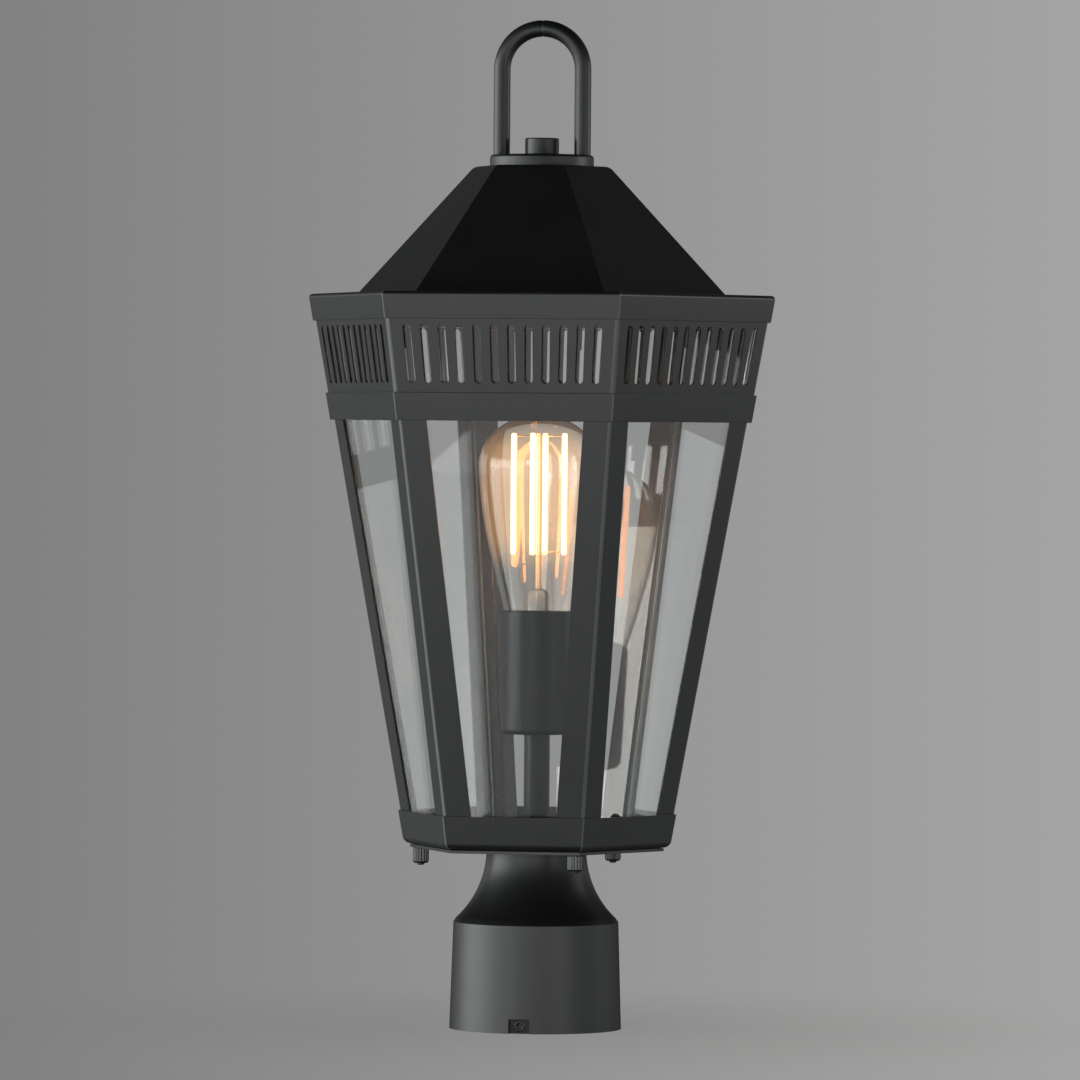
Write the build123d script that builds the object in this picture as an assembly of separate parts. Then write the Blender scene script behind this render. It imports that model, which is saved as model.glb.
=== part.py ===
from build123d import *
from math import asin, atan, cos, degrees, radians, sin, sqrt, tan
import os

# Post top lantern: a six-sided, upward flaring glass cage that stands on a round post fitter.
# Millimetres. The origin is the centre of the fitter's rim, where the lantern would stand on a
# table. +Z points up to the carrying loop and -Y out of the front pane. The cage's six corners
# lie at 0, 60, 120, 180, 240 and 300 degrees, so its first corner is on +X.

# ---- Post fitter, a casting that drops over the post ----
POST_BORE_R = 39.0
POST_BORE_DEPTH = 50.0
FITTER_RIM_R = 45.5
FITTER_SHOULDER_R = 43.7
FITTER_SHOULDER_Z = 56.4
FITTER_HEIGHT = 94.9
SHOULDER_BEVEL = 1.4
NECK_TOP_R = 26.4
NECK_COVE_R = 49.7
NECK_WALL = 6.9
NECK_HOLLOW_R = 19.0

# ---- Set screws that grip the post ----
SET_SCREW_ANGLES = [-90, 30, 150]
SET_SCREW_R = 2.95
SET_SCREW_LENGTH = 3.6
SET_SCREW_Z = 3.9
SET_SCREW_RECESS = 0.3
SET_SCREW_FIT = 0.05
SET_SCREW_SOCKET_R = 1.5
SET_SCREW_SOCKET_DEPTH = 1.8
POCKET_WIDTH = 11.2
POCKET_HEIGHT = 7.7
POCKET_DEPTH = 2.6

# ---- Base plate, stem and the threaded nipple that clamps them ----
PLATE_THICKNESS = 1.5
PLATE_INSET = 2.4
STEM_R = 6.8
STEM_LENGTH = 59.6
NIPPLE_R = 4.8
NIPPLE_BORE_R = 3.4
NIPPLE_TAIL = 14.0
NIPPLE_FIT = 0.1
NIPPLE_NUT_R = 8.1
NIPPLE_NUT_HEIGHT = 4.0
WASHER_R = 10.0
WASHER_THICKNESS = 1.5
SOCKET_NUT_HEIGHT = 3.0
NIPPLE_HEAD = 2.5

# ---- Lampholder ----
CUP_R = 19.6
CUP_HEIGHT = 65.0
CUP_WALL = 0.8
CUP_EDGE_R = 3.0
SOCKET_FIT = 0.3
SOCKET_RIM_DROP = 13.0
SOCKET_FLOOR = 16.0
SHELL_BORE_R = 13.6
SHELL_WALL = 0.4
SHELL_RIM_DROP = 14.0
CONTACT_R = 3.0

# ---- Filament-style bulb ----
BULB_R = 32.0
BULB_LENGTH = 141.0
BULB_SINK = 37.0
BULB_GLASS = 0.8
BULB_NECK_R = 13.2
BULB_MOUTH_R = 18.1
BULB_CROWN_DROP = 27.0
CAP_R = 13.1
CAP_LENGTH = 25.0
CAP_WALL = 0.3
TIP_R = 4.6
TIP_HEIGHT = 1.4
INSULATOR_HEIGHT = 2.0
FILAMENT_R = 1.3
FILAMENT_LENGTH = 64.0
FILAMENT_RING_R = 13.8
FILAMENT_COUNT = 4
FILAMENT_TURN = -2.9
FILAMENT_TOP_DROP = 10.0
STALK_R = 2.2
STALK_FLARE_R = 6.0
STALK_FLARE_HEIGHT = 20.0
WIRE_R = 0.3
WIRE_FIT = 0.1

# ---- Cage: the corner line that every sheet piece follows ----
CAGE_FOOT_R = 70.8
CAGE_HEAD_R = 123.5
CAGE_HEIGHT = 291.5
TRAY_SEAT_GAP = 0.3
SHEET = 0.9
LAP = 0.1

# ---- Tray ----
TRAY_WALL_HEIGHT = 17.7
TRAY_BEND_R = 3.5
TRAY_HOLE_CLEARANCE = 4.0

# ---- Corner posts, glass and clips ----
POST_FLANGE = 14.3
POST_LAP = 12.0
GLASS = 3.0
GLASS_FIT = 0.2
GLASS_NEAR_END = 2.2
GLASS_FAR_END = 7.5
GLASS_FLOOR_GAP = 0.4
GLASS_HEAD_GAP = 15.3
CLIP_WIDTH = 8.0
CLIP_SHEET = 0.8
CLIP_LEG = 12.0

# ---- Gallery: slotted vent panels, band below and fascia above ----
BAND_HEIGHT = 14.4
GALLERY_SHOWN = 38.3
FASCIA_HEIGHT = 14.2
FASCIA_STANDOFF = 1.3
FASCIA_BEND_R = 2.5
BAND_LAP = 13.0
MITRE_GAP = 0.1
PANEL_TOP_GAP = 0.95
SLOT_COUNT = 12
SLOT_PITCH = 9.0
SLOT_WIDTH = 4.3
SLOT_LENGTH = 31.0
SLOT_DROP = 18.0

# ---- Roof ----
ROOF_FOOT_R = 99.5
ROOF_TOP_R = 36.5
ROOF_HEIGHT = 67.8
ROOF_SHEET = 1.0
ROOF_EDGE_R = 2.0
LEDGE_LAP = 7.0

# ---- Loop plate, carrying loop and finial ----
LOOP_PLATE_R = 27.5
LOOP_PLATE_THICKNESS = 6.0
LOOP_PLATE_EDGE = 1.6
LOOP_ROD_R = 4.4
LOOP_SPACING = 43.5
LOOP_HEIGHT = 71.4
LOOP_PLUG = 5.0
LOOP_FIT = 0.05
FINIAL_R = 9.0
FINIAL_HEIGHT = 9.0
FINIAL_EDGE = 0.8
FINIAL_STUD_R = 3.0
FINIAL_STUD_FIT = 0.06
FINIAL_STUD_GRIP = 6.5
FINIAL_STUD_TAIL = 11.0
ROOF_NUT_R = 5.8
ROOF_NUT_HEIGHT = 5.0
ROOF_WASHER_R = 9.0
ROOF_WASHER_THICKNESS = 1.2
HOLE_CLEARANCE = 0.2

# ---- Studs and thumb nuts that hold the cage down ----
STUD_ANGLES = [180, -60, 60]
STUD_R = 2.0
STUD_INSET = 8.3
STUD_HEAD_R = 2.65
STUD_HEAD_HEIGHT = 14.4
STUD_TIP = 1.0
STUD_HOLE_CLEARANCE = 0.4
STUD_FIT = 0.06
THUMB_NUT_R = 4.3
THUMB_NUT_HEIGHT = 8.4
THUMB_NUT_SEAT_GAP = 0.1
THUMB_NUT_EDGE = 0.6
FLUTE_COUNT = 16
FLUTE_R = 0.35

# ---- Levels worked out from the stack of pieces ----
PLATE_Z = FITTER_HEIGHT
PLATE_TOP_Z = PLATE_Z + PLATE_THICKNESS
CUP_Z = PLATE_TOP_Z + STEM_LENGTH
CUP_TOP_Z = CUP_Z + CUP_HEIGHT
BULB_Z = CUP_TOP_Z - BULB_SINK
BULB_TOP_Z = BULB_Z + BULB_LENGTH
TRAY_Z = PLATE_TOP_Z + TRAY_SEAT_GAP
TRAY_FLOOR_Z = TRAY_Z + SHEET
TRAY_TOP_Z = TRAY_Z + TRAY_WALL_HEIGHT
LEDGE_Z = TRAY_Z + CAGE_HEIGHT
LEDGE_UNDER_Z = LEDGE_Z - SHEET
FASCIA_Z = LEDGE_Z - FASCIA_HEIGHT
BAND_TOP_Z = FASCIA_Z - GALLERY_SHOWN
BAND_Z = BAND_TOP_Z - BAND_HEIGHT
GLASS_Z = TRAY_FLOOR_Z + GLASS_FLOOR_GAP
GLASS_TOP_Z = LEDGE_UNDER_Z - GLASS_HEAD_GAP
ROOF_TOP_Z = LEDGE_Z + ROOF_HEIGHT
LOOP_PLATE_TOP_Z = ROOF_TOP_Z + LOOP_PLATE_THICKNESS
LOOP_TOP_Z = LOOP_PLATE_TOP_Z + LOOP_HEIGHT

COS30 = cos(radians(30))
SIDES = 6
CORNER_ANGLES = [60 * k for k in range(SIDES)]
STANDING = (Align.CENTER, Align.CENTER, Align.MIN)
STUD_CIRCLE_R = CAGE_FOOT_R - STUD_INSET
TRAY_HOLE_R = BULB_R + TRAY_HOLE_CLEARANCE


# ---- Shapes that several pieces share ----
def rod(radius, z_low, z_high):
    """Solid round bar on the axis."""
    return Pos(0, 0, z_low) * Cylinder(radius, z_high - z_low, align=STANDING)


def tube(outer_r, inner_r, z_low, z_high):
    """Round tube or washer on the axis."""
    return rod(outer_r, z_low, z_high) - rod(inner_r, z_low, z_high)


def hex_nut(corner_r, bore_r, z_low, height):
    """Hexagon nut on the axis."""
    outline = RegularPolygon(corner_r, SIDES) - Circle(bore_r)
    return Pos(0, 0, z_low) * extrude(outline, height)


def hexagon(z, corner_r):
    return Pos(0, 0, z) * RegularPolygon(corner_r, SIDES)


def hex_frustum(z_low, low_r, z_high, high_r):
    """Solid with six flat, sloping sides between two levels."""
    return loft([hexagon(z_low, low_r), hexagon(z_high, high_r)], ruled=True)


def cage_r(z):
    """Radius of the cage's corner line, the outside of the corner posts, at a height."""
    return CAGE_FOOT_R + (CAGE_HEAD_R - CAGE_FOOT_R) * (z - TRAY_Z) / CAGE_HEIGHT


def cage_block(z_low, z_high, offset):
    """Solid whose sides lie at a horizontal offset outside the corner posts."""
    low_r = cage_r(z_low) + offset / COS30
    high_r = cage_r(z_high) + offset / COS30
    return hex_frustum(z_low, low_r, z_high, high_r)


def cage_band(z_low, z_high, inner_offset):
    """Six-sided band of sheet that follows the flare of the cage."""
    below = z_low - SHEET
    above = z_high + SHEET
    return cage_block(z_low, z_high, inner_offset + SHEET) - cage_block(below, above, inner_offset)


def face_point(z, along, inward):
    """Point beside the face that runs from the corner on +X to the corner at 60 degrees.

    along is measured from the corner on +X, and inward from the outside of the corner posts.
    """
    along_x = -sin(radians(30))
    along_y = COS30
    x = cage_r(z) + along * along_x - inward * COS30
    y = along * along_y - inward * sin(radians(30))
    return (x, y, z)


def level_outline(points):
    return make_face(Polyline(*points, close=True))


def around(piece, angle):
    """The piece turned about the axis of the lantern."""
    return Rot(0, 0, angle) * piece


def save(piece, node):
    piece.label = node
    export_step(piece, f"parts/{node}.step")


# ---- Post fitter and its set screws ----
def neck_foot():
    """Where the concave neck meets the bevel of the shoulder."""
    foot_r = FITTER_SHOULDER_R - SHOULDER_BEVEL
    rise = sqrt(NECK_COVE_R ** 2 - (NECK_COVE_R - foot_r + NECK_TOP_R) ** 2)
    return (foot_r, FITTER_HEIGHT - rise)


def set_screw_seat():
    """Distance from the axis to the flat floor of a set screw's pocket."""
    return FITTER_RIM_R - POCKET_DEPTH


def make_post_fitter():
    foot_r, foot_z = neck_foot()
    outline = Polyline(
        (0, 0),
        (FITTER_RIM_R, 0),
        (FITTER_SHOULDER_R, FITTER_SHOULDER_Z),
        (foot_r, foot_z),
    )
    cove_centre_r = NECK_TOP_R + NECK_COVE_R
    half_turn = asin((FITTER_HEIGHT - foot_z) / NECK_COVE_R) / 2
    cove_middle = (
        cove_centre_r - NECK_COVE_R * cos(half_turn),
        FITTER_HEIGHT - NECK_COVE_R * sin(half_turn),
    )
    cove = ThreePointArc((foot_r, foot_z), cove_middle, (NECK_TOP_R, FITTER_HEIGHT))
    closing = Polyline((NECK_TOP_R, FITTER_HEIGHT), (0, FITTER_HEIGHT), (0, 0))
    profile = Plane.XZ * make_face(outline + cove + closing)
    casting = revolve(profile, Axis.Z)

    casting -= rod(POST_BORE_R, -SHEET, POST_BORE_DEPTH)
    casting -= rod(NECK_HOLLOW_R, POST_BORE_DEPTH - SHEET, FITTER_HEIGHT - NECK_WALL)
    casting -= rod(NIPPLE_R + NIPPLE_FIT, FITTER_HEIGHT - 2 * NECK_WALL, FITTER_HEIGHT + SHEET)
    for angle in SET_SCREW_ANGLES:
        casting -= around(set_screw_pocket(), angle)
    return casting


def set_screw_pocket():
    """Recess in the rim that a set screw sits in, with the screw's hole through the wall."""
    recess = Pos(set_screw_seat(), 0, -SHEET) * Box(
        2 * POCKET_DEPTH,
        POCKET_WIDTH,
        POCKET_HEIGHT + SHEET,
        align=(Align.MIN, Align.CENTER, Align.MIN),
    )
    hole_length = FITTER_RIM_R - POST_BORE_R + 2 * SHEET
    hole = Pos(POST_BORE_R - SHEET, 0, SET_SCREW_Z) * Rot(0, 90, 0) * Cylinder(
        SET_SCREW_R + SET_SCREW_FIT, hole_length, align=STANDING
    )
    return recess + hole


def make_set_screw():
    """Headless screw along +X, with a hexagon socket in its outer end."""
    start = POST_BORE_R + SET_SCREW_RECESS
    screw = Cylinder(SET_SCREW_R, SET_SCREW_LENGTH, align=STANDING)
    socket = extrude(RegularPolygon(SET_SCREW_SOCKET_R, SIDES), SET_SCREW_SOCKET_DEPTH)
    screw -= Pos(0, 0, SET_SCREW_LENGTH - SET_SCREW_SOCKET_DEPTH) * socket
    return Pos(start, 0, SET_SCREW_Z) * Rot(0, 90, 0) * screw


# ---- Base plate, stem and nipple ----
def make_base_plate():
    plate = hexagon(PLATE_Z, CAGE_FOOT_R - PLATE_INSET)
    plate = extrude(plate, PLATE_THICKNESS)
    above = PLATE_TOP_Z + SHEET
    plate -= rod(NIPPLE_R + NIPPLE_FIT, PLATE_Z - SHEET, above)
    for angle in STUD_ANGLES:
        hole = rod(STUD_R + STUD_HOLE_CLEARANCE, PLATE_Z - SHEET, above)
        plate -= around(Pos(STUD_CIRCLE_R, 0, 0) * hole, angle)
    return plate


def nipple_nut_z():
    """Underside of the washer that the lower nut presses against the neck's ceiling."""
    return FITTER_HEIGHT - NECK_WALL - WASHER_THICKNESS


def socket_nut_z():
    return CUP_Z + CUP_WALL


def nipple_top_z():
    return socket_nut_z() + SOCKET_NUT_HEIGHT + NIPPLE_HEAD


def make_nipple():
    return tube(NIPPLE_R, NIPPLE_BORE_R, FITTER_HEIGHT - NECK_WALL - NIPPLE_TAIL, nipple_top_z())


# ---- Lampholder ----
def make_socket_cup():
    """Thin round cover, open at the top, with a rounded bottom edge."""
    outer = rod(CUP_R, CUP_Z, CUP_TOP_Z)
    outer = fillet(outer.edges().group_by(Axis.Z)[0], CUP_EDGE_R)
    inner = rod(CUP_R - CUP_WALL, CUP_Z + CUP_WALL, CUP_TOP_Z + CUP_EDGE_R)
    inner = fillet(inner.edges().group_by(Axis.Z)[0], CUP_EDGE_R - CUP_WALL)
    return outer - inner - rod(NIPPLE_R + NIPPLE_FIT, CUP_Z - SHEET, CUP_Z + CUP_EDGE_R)


def shell_seat_z():
    """Floor of the hole in the insulating body, where the screw shell stands."""
    return socket_body_z() + SOCKET_FLOOR


def socket_body_z():
    return socket_nut_z() + SOCKET_NUT_HEIGHT + SOCKET_FIT


def make_socket_body():
    """Insulating body that fills the cup and holds the screw shell."""
    body_r = CUP_R - CUP_WALL - SOCKET_FIT
    body_top = CUP_TOP_Z - SOCKET_RIM_DROP
    body = rod(body_r, socket_body_z(), body_top)
    body -= rod(SHELL_BORE_R + SHELL_WALL + NIPPLE_FIT, shell_seat_z(), body_top + SHEET)
    nipple_room = nipple_top_z() + SOCKET_FIT
    return body - rod(NIPPLE_R + NIPPLE_FIT, socket_body_z() - SHEET, nipple_room)


def make_screw_shell():
    shell_top = CUP_TOP_Z - SHELL_RIM_DROP
    return tube(SHELL_BORE_R + SHELL_WALL, SHELL_BORE_R, shell_seat_z(), shell_top)


def make_centre_contact():
    """Sprung tongue that meets the tip of the bulb."""
    return rod(CONTACT_R, shell_seat_z(), BULB_Z - LAP)


# ---- Bulb ----
def bulb_curve(wall):
    """Half outline of the glass, drawn in by a wall: a flared side and a quarter of an ellipse."""
    shoulder_z = BULB_TOP_Z - BULB_CROWN_DROP
    neck = (BULB_NECK_R - wall, BULB_Z + CAP_LENGTH)
    mouth = (BULB_MOUTH_R - wall, CUP_TOP_Z)
    shoulder = (BULB_R - wall, shoulder_z)
    lower = Spline(neck, mouth, shoulder, tangents=[(0.3, 1), (0, 1)])
    pull = 4 / 3 * (sqrt(2) - 1)
    upper = Bezier(
        shoulder,
        (BULB_R - wall, shoulder_z + pull * (BULB_CROWN_DROP - wall)),
        (pull * (BULB_R - wall), BULB_TOP_Z - wall),
        (0, BULB_TOP_Z - wall),
    )
    return [lower, upper]


def make_bulb_glass():
    """Thin blown shell, open at the neck, where the cap and the stalk are sealed in."""
    neck_z = BULB_Z + CAP_LENGTH
    crown = Line((0, BULB_TOP_Z), (0, BULB_TOP_Z - BULB_GLASS))
    mouth = Line((BULB_NECK_R, neck_z), (BULB_NECK_R - BULB_GLASS, neck_z))
    outline = Curve() + [*bulb_curve(0), crown, *reversed(bulb_curve(BULB_GLASS)), mouth]
    return revolve(Plane.XZ * make_face(outline), Axis.Z)


def cap_z():
    return BULB_Z + TIP_HEIGHT + INSULATOR_HEIGHT


def make_bulb_cap():
    """Screw cap, a thin metal sleeve below the glass."""
    return tube(CAP_R, CAP_R - CAP_WALL, cap_z(), BULB_Z + CAP_LENGTH - LAP)


def make_bulb_insulator():
    """Disc of dark glass between the cap's sleeve and its tip."""
    return rod(CAP_R - CAP_WALL - LAP, cap_z() - INSULATOR_HEIGHT, cap_z() + INSULATOR_HEIGHT)


def make_bulb_tip():
    return rod(TIP_R, BULB_Z, BULB_Z + TIP_HEIGHT)


def stalk_top_z():
    return BULB_TOP_Z - FILAMENT_TOP_DROP


def stalk_foot_z():
    return BULB_Z + CAP_LENGTH + LAP


def make_bulb_stalk():
    """Glass stalk that carries the filaments, flared where it is sealed into the neck."""
    flare_top = stalk_foot_z() + STALK_FLARE_HEIGHT
    profile = Polyline(
        (0, stalk_foot_z()),
        (BULB_NECK_R - BULB_GLASS - LAP, stalk_foot_z()),
        (STALK_FLARE_R, stalk_foot_z() + STALK_FLARE_R),
        (STALK_FLARE_R, flare_top - STALK_FLARE_R),
        (STALK_R, flare_top),
        (STALK_R, stalk_top_z()),
        (0, stalk_top_z()),
        close=True,
    )
    return revolve(Plane.XZ * make_face(profile), Axis.Z)


def filament_z():
    return stalk_top_z() - FILAMENT_LENGTH


def filament_angles():
    return [FILAMENT_TURN + 360 / FILAMENT_COUNT * k for k in range(FILAMENT_COUNT)]


def make_bulb_filaments():
    """Upright glowing rods on a ring about the stalk."""
    one = Pos(FILAMENT_RING_R, 0, 0) * rod(FILAMENT_R, filament_z(), stalk_top_z())
    return Compound([around(one, angle) for angle in filament_angles()])


def make_bulb_wires():
    """Support wires from the stalk to both ends of each filament."""
    span = FILAMENT_RING_R - FILAMENT_R - STALK_R - 2 * WIRE_FIT
    one = Rot(0, 90, 0) * Cylinder(WIRE_R, span, align=STANDING)
    levels = [filament_z() + FILAMENT_R, stalk_top_z() - FILAMENT_R]
    wires = []
    for angle in filament_angles():
        for level in levels:
            wires.append(around(Pos(STALK_R + WIRE_FIT, 0, level) * one, angle))
    return Compound(wires)


# ---- Tray ----
def make_tray():
    """Shallow pan that closes the cage's foot, open in the middle to pass over the bulb."""
    outer = cage_block(TRAY_Z, TRAY_TOP_Z, LAP + SHEET)
    outer = fillet(outer.edges().group_by(Axis.Z)[0], TRAY_BEND_R)
    inner = cage_block(TRAY_FLOOR_Z, TRAY_TOP_Z + SHEET, LAP)
    inner = fillet(inner.edges().group_by(Axis.Z)[0], TRAY_BEND_R - SHEET)
    tray = outer - inner - rod(TRAY_HOLE_R, TRAY_Z - SHEET, TRAY_TOP_Z)
    for angle in STUD_ANGLES:
        hole = rod(STUD_R + STUD_FIT, TRAY_Z - SHEET, TRAY_FLOOR_Z + SHEET)
        tray -= around(Pos(STUD_CIRCLE_R, 0, 0) * hole, angle)
    return tray


# ---- Corner posts, glass and clips ----
def post_outline(z):
    """Section of a corner post: two flanges that meet at 120 degrees."""
    outer_tip = face_point(z, POST_FLANGE, 0)
    inner_tip = face_point(z, POST_FLANGE, SHEET)
    outer_corner = (cage_r(z), 0, z)
    inner_corner = (cage_r(z) - SHEET / COS30, 0, z)
    mirrored_inner = (inner_tip[0], -inner_tip[1], z)
    mirrored_outer = (outer_tip[0], -outer_tip[1], z)
    return level_outline(
        [outer_corner, outer_tip, inner_tip, inner_corner, mirrored_inner, mirrored_outer]
    )


def make_corner_post():
    """Bent sheet angle on +X, from just above the tray's bend to behind the band."""
    post_z = TRAY_FLOOR_Z + TRAY_BEND_R
    return loft([post_outline(post_z), post_outline(BAND_Z + POST_LAP)], ruled=True)


def pane_outline(z):
    """Section of the pane beside the first face, set nearer to one corner than to the other."""
    outside = SHEET + GLASS_FIT
    inside = outside + GLASS
    far = cage_r(z) - GLASS_FAR_END
    return level_outline([
        face_point(z, GLASS_NEAR_END, outside),
        face_point(z, far, outside),
        face_point(z, far, inside),
        face_point(z, GLASS_NEAR_END, inside),
    ])


def make_glass_pane():
    return loft([pane_outline(GLASS_Z), pane_outline(GLASS_TOP_Z)], ruled=True)


def face_middle(z, inward):
    """Point in the plane through the axis and the middle of the face on +X."""
    return (cage_r(z) * COS30 - inward, z)


def make_glass_clip():
    """Folded strip that hangs from a vent panel and reaches over the top edge of its pane."""
    hook_z = GLASS_TOP_Z + GLASS_FIT
    top_z = LEDGE_UNDER_Z - LAP
    inside = SHEET + GLASS + 2 * GLASS_FIT
    outline = Polyline(
        face_middle(top_z, 0),
        face_middle(hook_z, 0),
        face_middle(hook_z, inside),
        face_middle(hook_z - CLIP_LEG, inside),
        face_middle(hook_z - CLIP_LEG, inside + CLIP_SHEET),
        face_middle(hook_z + CLIP_SHEET, inside + CLIP_SHEET),
        face_middle(hook_z + CLIP_SHEET, CLIP_SHEET),
        face_middle(top_z, CLIP_SHEET),
        close=True,
    )
    return extrude(Plane.XZ * make_face(outline), CLIP_WIDTH / 2, both=True)


# ---- Gallery ----
def cage_tilt():
    """Lean of the cage's faces, in degrees from upright."""
    return degrees(atan((CAGE_HEAD_R - CAGE_FOOT_R) * COS30 / CAGE_HEIGHT))


def panel_outline(z):
    """Section of a vent panel beside the first face, mitred at both corners."""
    outer = -LAP - SHEET
    inner = -LAP
    mitre = MITRE_GAP / 2
    side = cage_r(z)
    outer_slant = outer * tan(radians(30))
    inner_slant = inner * tan(radians(30))
    return level_outline([
        face_point(z, outer_slant + mitre, outer),
        face_point(z, side - outer_slant - mitre, outer),
        face_point(z, side - inner_slant - mitre, inner),
        face_point(z, inner_slant + mitre, inner),
    ])


def make_vent_panel():
    """Flat sheet with a row of upright slots that fan out with the flare of the cage."""
    low = panel_outline(BAND_TOP_Z - BAND_LAP)
    high = panel_outline(LEDGE_UNDER_Z - PANEL_TOP_GAP)
    panel = loft([low, high], ruled=True)
    slot_z = FASCIA_Z - SLOT_DROP
    middle = face_point(slot_z, cage_r(slot_z) / 2, 0)
    tilt = radians(cage_tilt())
    out = (COS30 * cos(tilt), sin(radians(30)) * cos(tilt), -sin(tilt))
    face = Plane(origin=middle, x_dir=(-sin(radians(30)), COS30, 0), z_dir=out)
    flare = (CAGE_HEAD_R - CAGE_FOOT_R) / CAGE_HEIGHT * cos(tilt) / cage_r(slot_z)
    for k in range(SLOT_COUNT):
        across = (k - (SLOT_COUNT - 1) / 2) * SLOT_PITCH
        fan = degrees(atan(across * flare))
        slot = Pos(across, 0) * Rot(0, 0, 90 - fan) * SlotOverall(SLOT_LENGTH, SLOT_WIDTH)
        panel -= extrude(face * slot, 4 * SHEET, both=True)
    return panel


def make_roof_rim():
    """Flat ledge under the roof, folded down on the outside into the fascia."""
    outer = cage_block(FASCIA_Z, LEDGE_Z, FASCIA_STANDOFF + SHEET)
    outer = fillet(outer.edges().group_by(Axis.Z)[-1], FASCIA_BEND_R)
    inner = cage_block(FASCIA_Z - SHEET, LEDGE_UNDER_Z, FASCIA_STANDOFF)
    inner = fillet(inner.edges().group_by(Axis.Z)[-1], FASCIA_BEND_R - SHEET)
    opening = extrude(hexagon(LEDGE_UNDER_Z - SHEET, ROOF_FOOT_R - LEDGE_LAP), 3 * SHEET)
    return outer - inner - opening


# ---- Roof ----
def make_roof_shell():
    """Six-sided pyramid of folded sheet with a small flat top."""
    run = (ROOF_FOOT_R - ROOF_TOP_R) * COS30
    wall = ROOF_SHEET * sqrt(1 + (run / ROOF_HEIGHT) ** -2) * run / ROOF_HEIGHT
    inset = wall / COS30
    slope = (ROOF_FOOT_R - ROOF_TOP_R) / ROOF_HEIGHT
    outer = hex_frustum(LEDGE_Z, ROOF_FOOT_R, ROOF_TOP_Z, ROOF_TOP_R)
    outer = fillet(outer.edges().group_by(Axis.Z)[-1], ROOF_EDGE_R)
    below_r = ROOF_FOOT_R - inset + slope * SHEET
    under_top_r = ROOF_TOP_R - inset + slope * ROOF_SHEET
    inner = hex_frustum(LEDGE_Z - SHEET, below_r, ROOF_TOP_Z - ROOF_SHEET, under_top_r)
    hole = rod(FINIAL_STUD_R + HOLE_CLEARANCE, ROOF_TOP_Z - 3 * ROOF_SHEET, ROOF_TOP_Z + ROOF_SHEET)
    return outer - inner - hole


# ---- Loop plate, carrying loop and finial ----
def make_loop_plate():
    plate = rod(LOOP_PLATE_R, ROOF_TOP_Z, LOOP_PLATE_TOP_Z)
    plate = chamfer(plate.edges().group_by(Axis.Z)[-1], LOOP_PLATE_EDGE)
    plate -= rod(FINIAL_STUD_R + HOLE_CLEARANCE, ROOF_TOP_Z - SHEET, LOOP_PLATE_TOP_Z + SHEET)
    socket = rod(LOOP_ROD_R + LOOP_FIT, LOOP_PLATE_TOP_Z - LOOP_PLUG, LOOP_PLATE_TOP_Z + SHEET)
    for side in (-1, 1):
        plate -= Pos(side * LOOP_SPACING / 2, 0, 0) * socket
    return plate


def make_hanging_loop():
    """Round bar bent into an upside-down U, with its ends plugged into the plate."""
    bend_r = LOOP_SPACING / 2
    foot_z = LOOP_PLATE_TOP_Z - LOOP_PLUG + LOOP_FIT
    spring_z = LOOP_TOP_Z - LOOP_ROD_R - bend_r
    up = Line((-bend_r, 0, foot_z), (-bend_r, 0, spring_z))
    over = ThreePointArc((-bend_r, 0, spring_z), (0, 0, spring_z + bend_r), (bend_r, 0, spring_z))
    down = Line((bend_r, 0, spring_z), (bend_r, 0, foot_z))
    section = Pos(-bend_r, 0, foot_z) * Circle(LOOP_ROD_R)
    return sweep(section, path=up + over + down)


def make_finial_nut():
    nut = rod(FINIAL_R, LOOP_PLATE_TOP_Z + LAP, LOOP_PLATE_TOP_Z + FINIAL_HEIGHT)
    nut = chamfer(nut.edges().group_by(Axis.Z)[-1], FINIAL_EDGE)
    bore_top = LOOP_PLATE_TOP_Z + FINIAL_STUD_GRIP + HOLE_CLEARANCE
    return nut - rod(FINIAL_STUD_R + FINIAL_STUD_FIT, LOOP_PLATE_TOP_Z - SHEET, bore_top)


def roof_washer_z():
    return ROOF_TOP_Z - ROOF_SHEET - ROOF_WASHER_THICKNESS


def make_finial_stud():
    return rod(FINIAL_STUD_R, ROOF_TOP_Z - FINIAL_STUD_TAIL, LOOP_PLATE_TOP_Z + FINIAL_STUD_GRIP)


def make_roof_nut():
    nut_z = roof_washer_z() - ROOF_NUT_HEIGHT
    return hex_nut(ROOF_NUT_R, FINIAL_STUD_R + FINIAL_STUD_FIT, nut_z, ROOF_NUT_HEIGHT)


def make_roof_washer():
    bore_r = FINIAL_STUD_R + FINIAL_STUD_FIT
    return tube(ROOF_WASHER_R, bore_r, roof_washer_z(), roof_washer_z() + ROOF_WASHER_THICKNESS)


# ---- Studs and thumb nuts ----
def thumb_nut_top_z():
    return PLATE_Z - THUMB_NUT_SEAT_GAP


def make_cage_studs():
    """Studs with long round-topped heads that hang from the tray through the base plate."""
    tip_z = thumb_nut_top_z() - THUMB_NUT_HEIGHT - STUD_TIP
    head = rod(STUD_HEAD_R, TRAY_FLOOR_Z, TRAY_FLOOR_Z + STUD_HEAD_HEIGHT)
    head = fillet(head.edges().group_by(Axis.Z)[-1], STUD_HEAD_R - LAP)
    one = Pos(STUD_CIRCLE_R, 0, 0) * (head + rod(STUD_R, tip_z, TRAY_FLOOR_Z))
    return Compound([around(one, angle) for angle in STUD_ANGLES])


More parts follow.
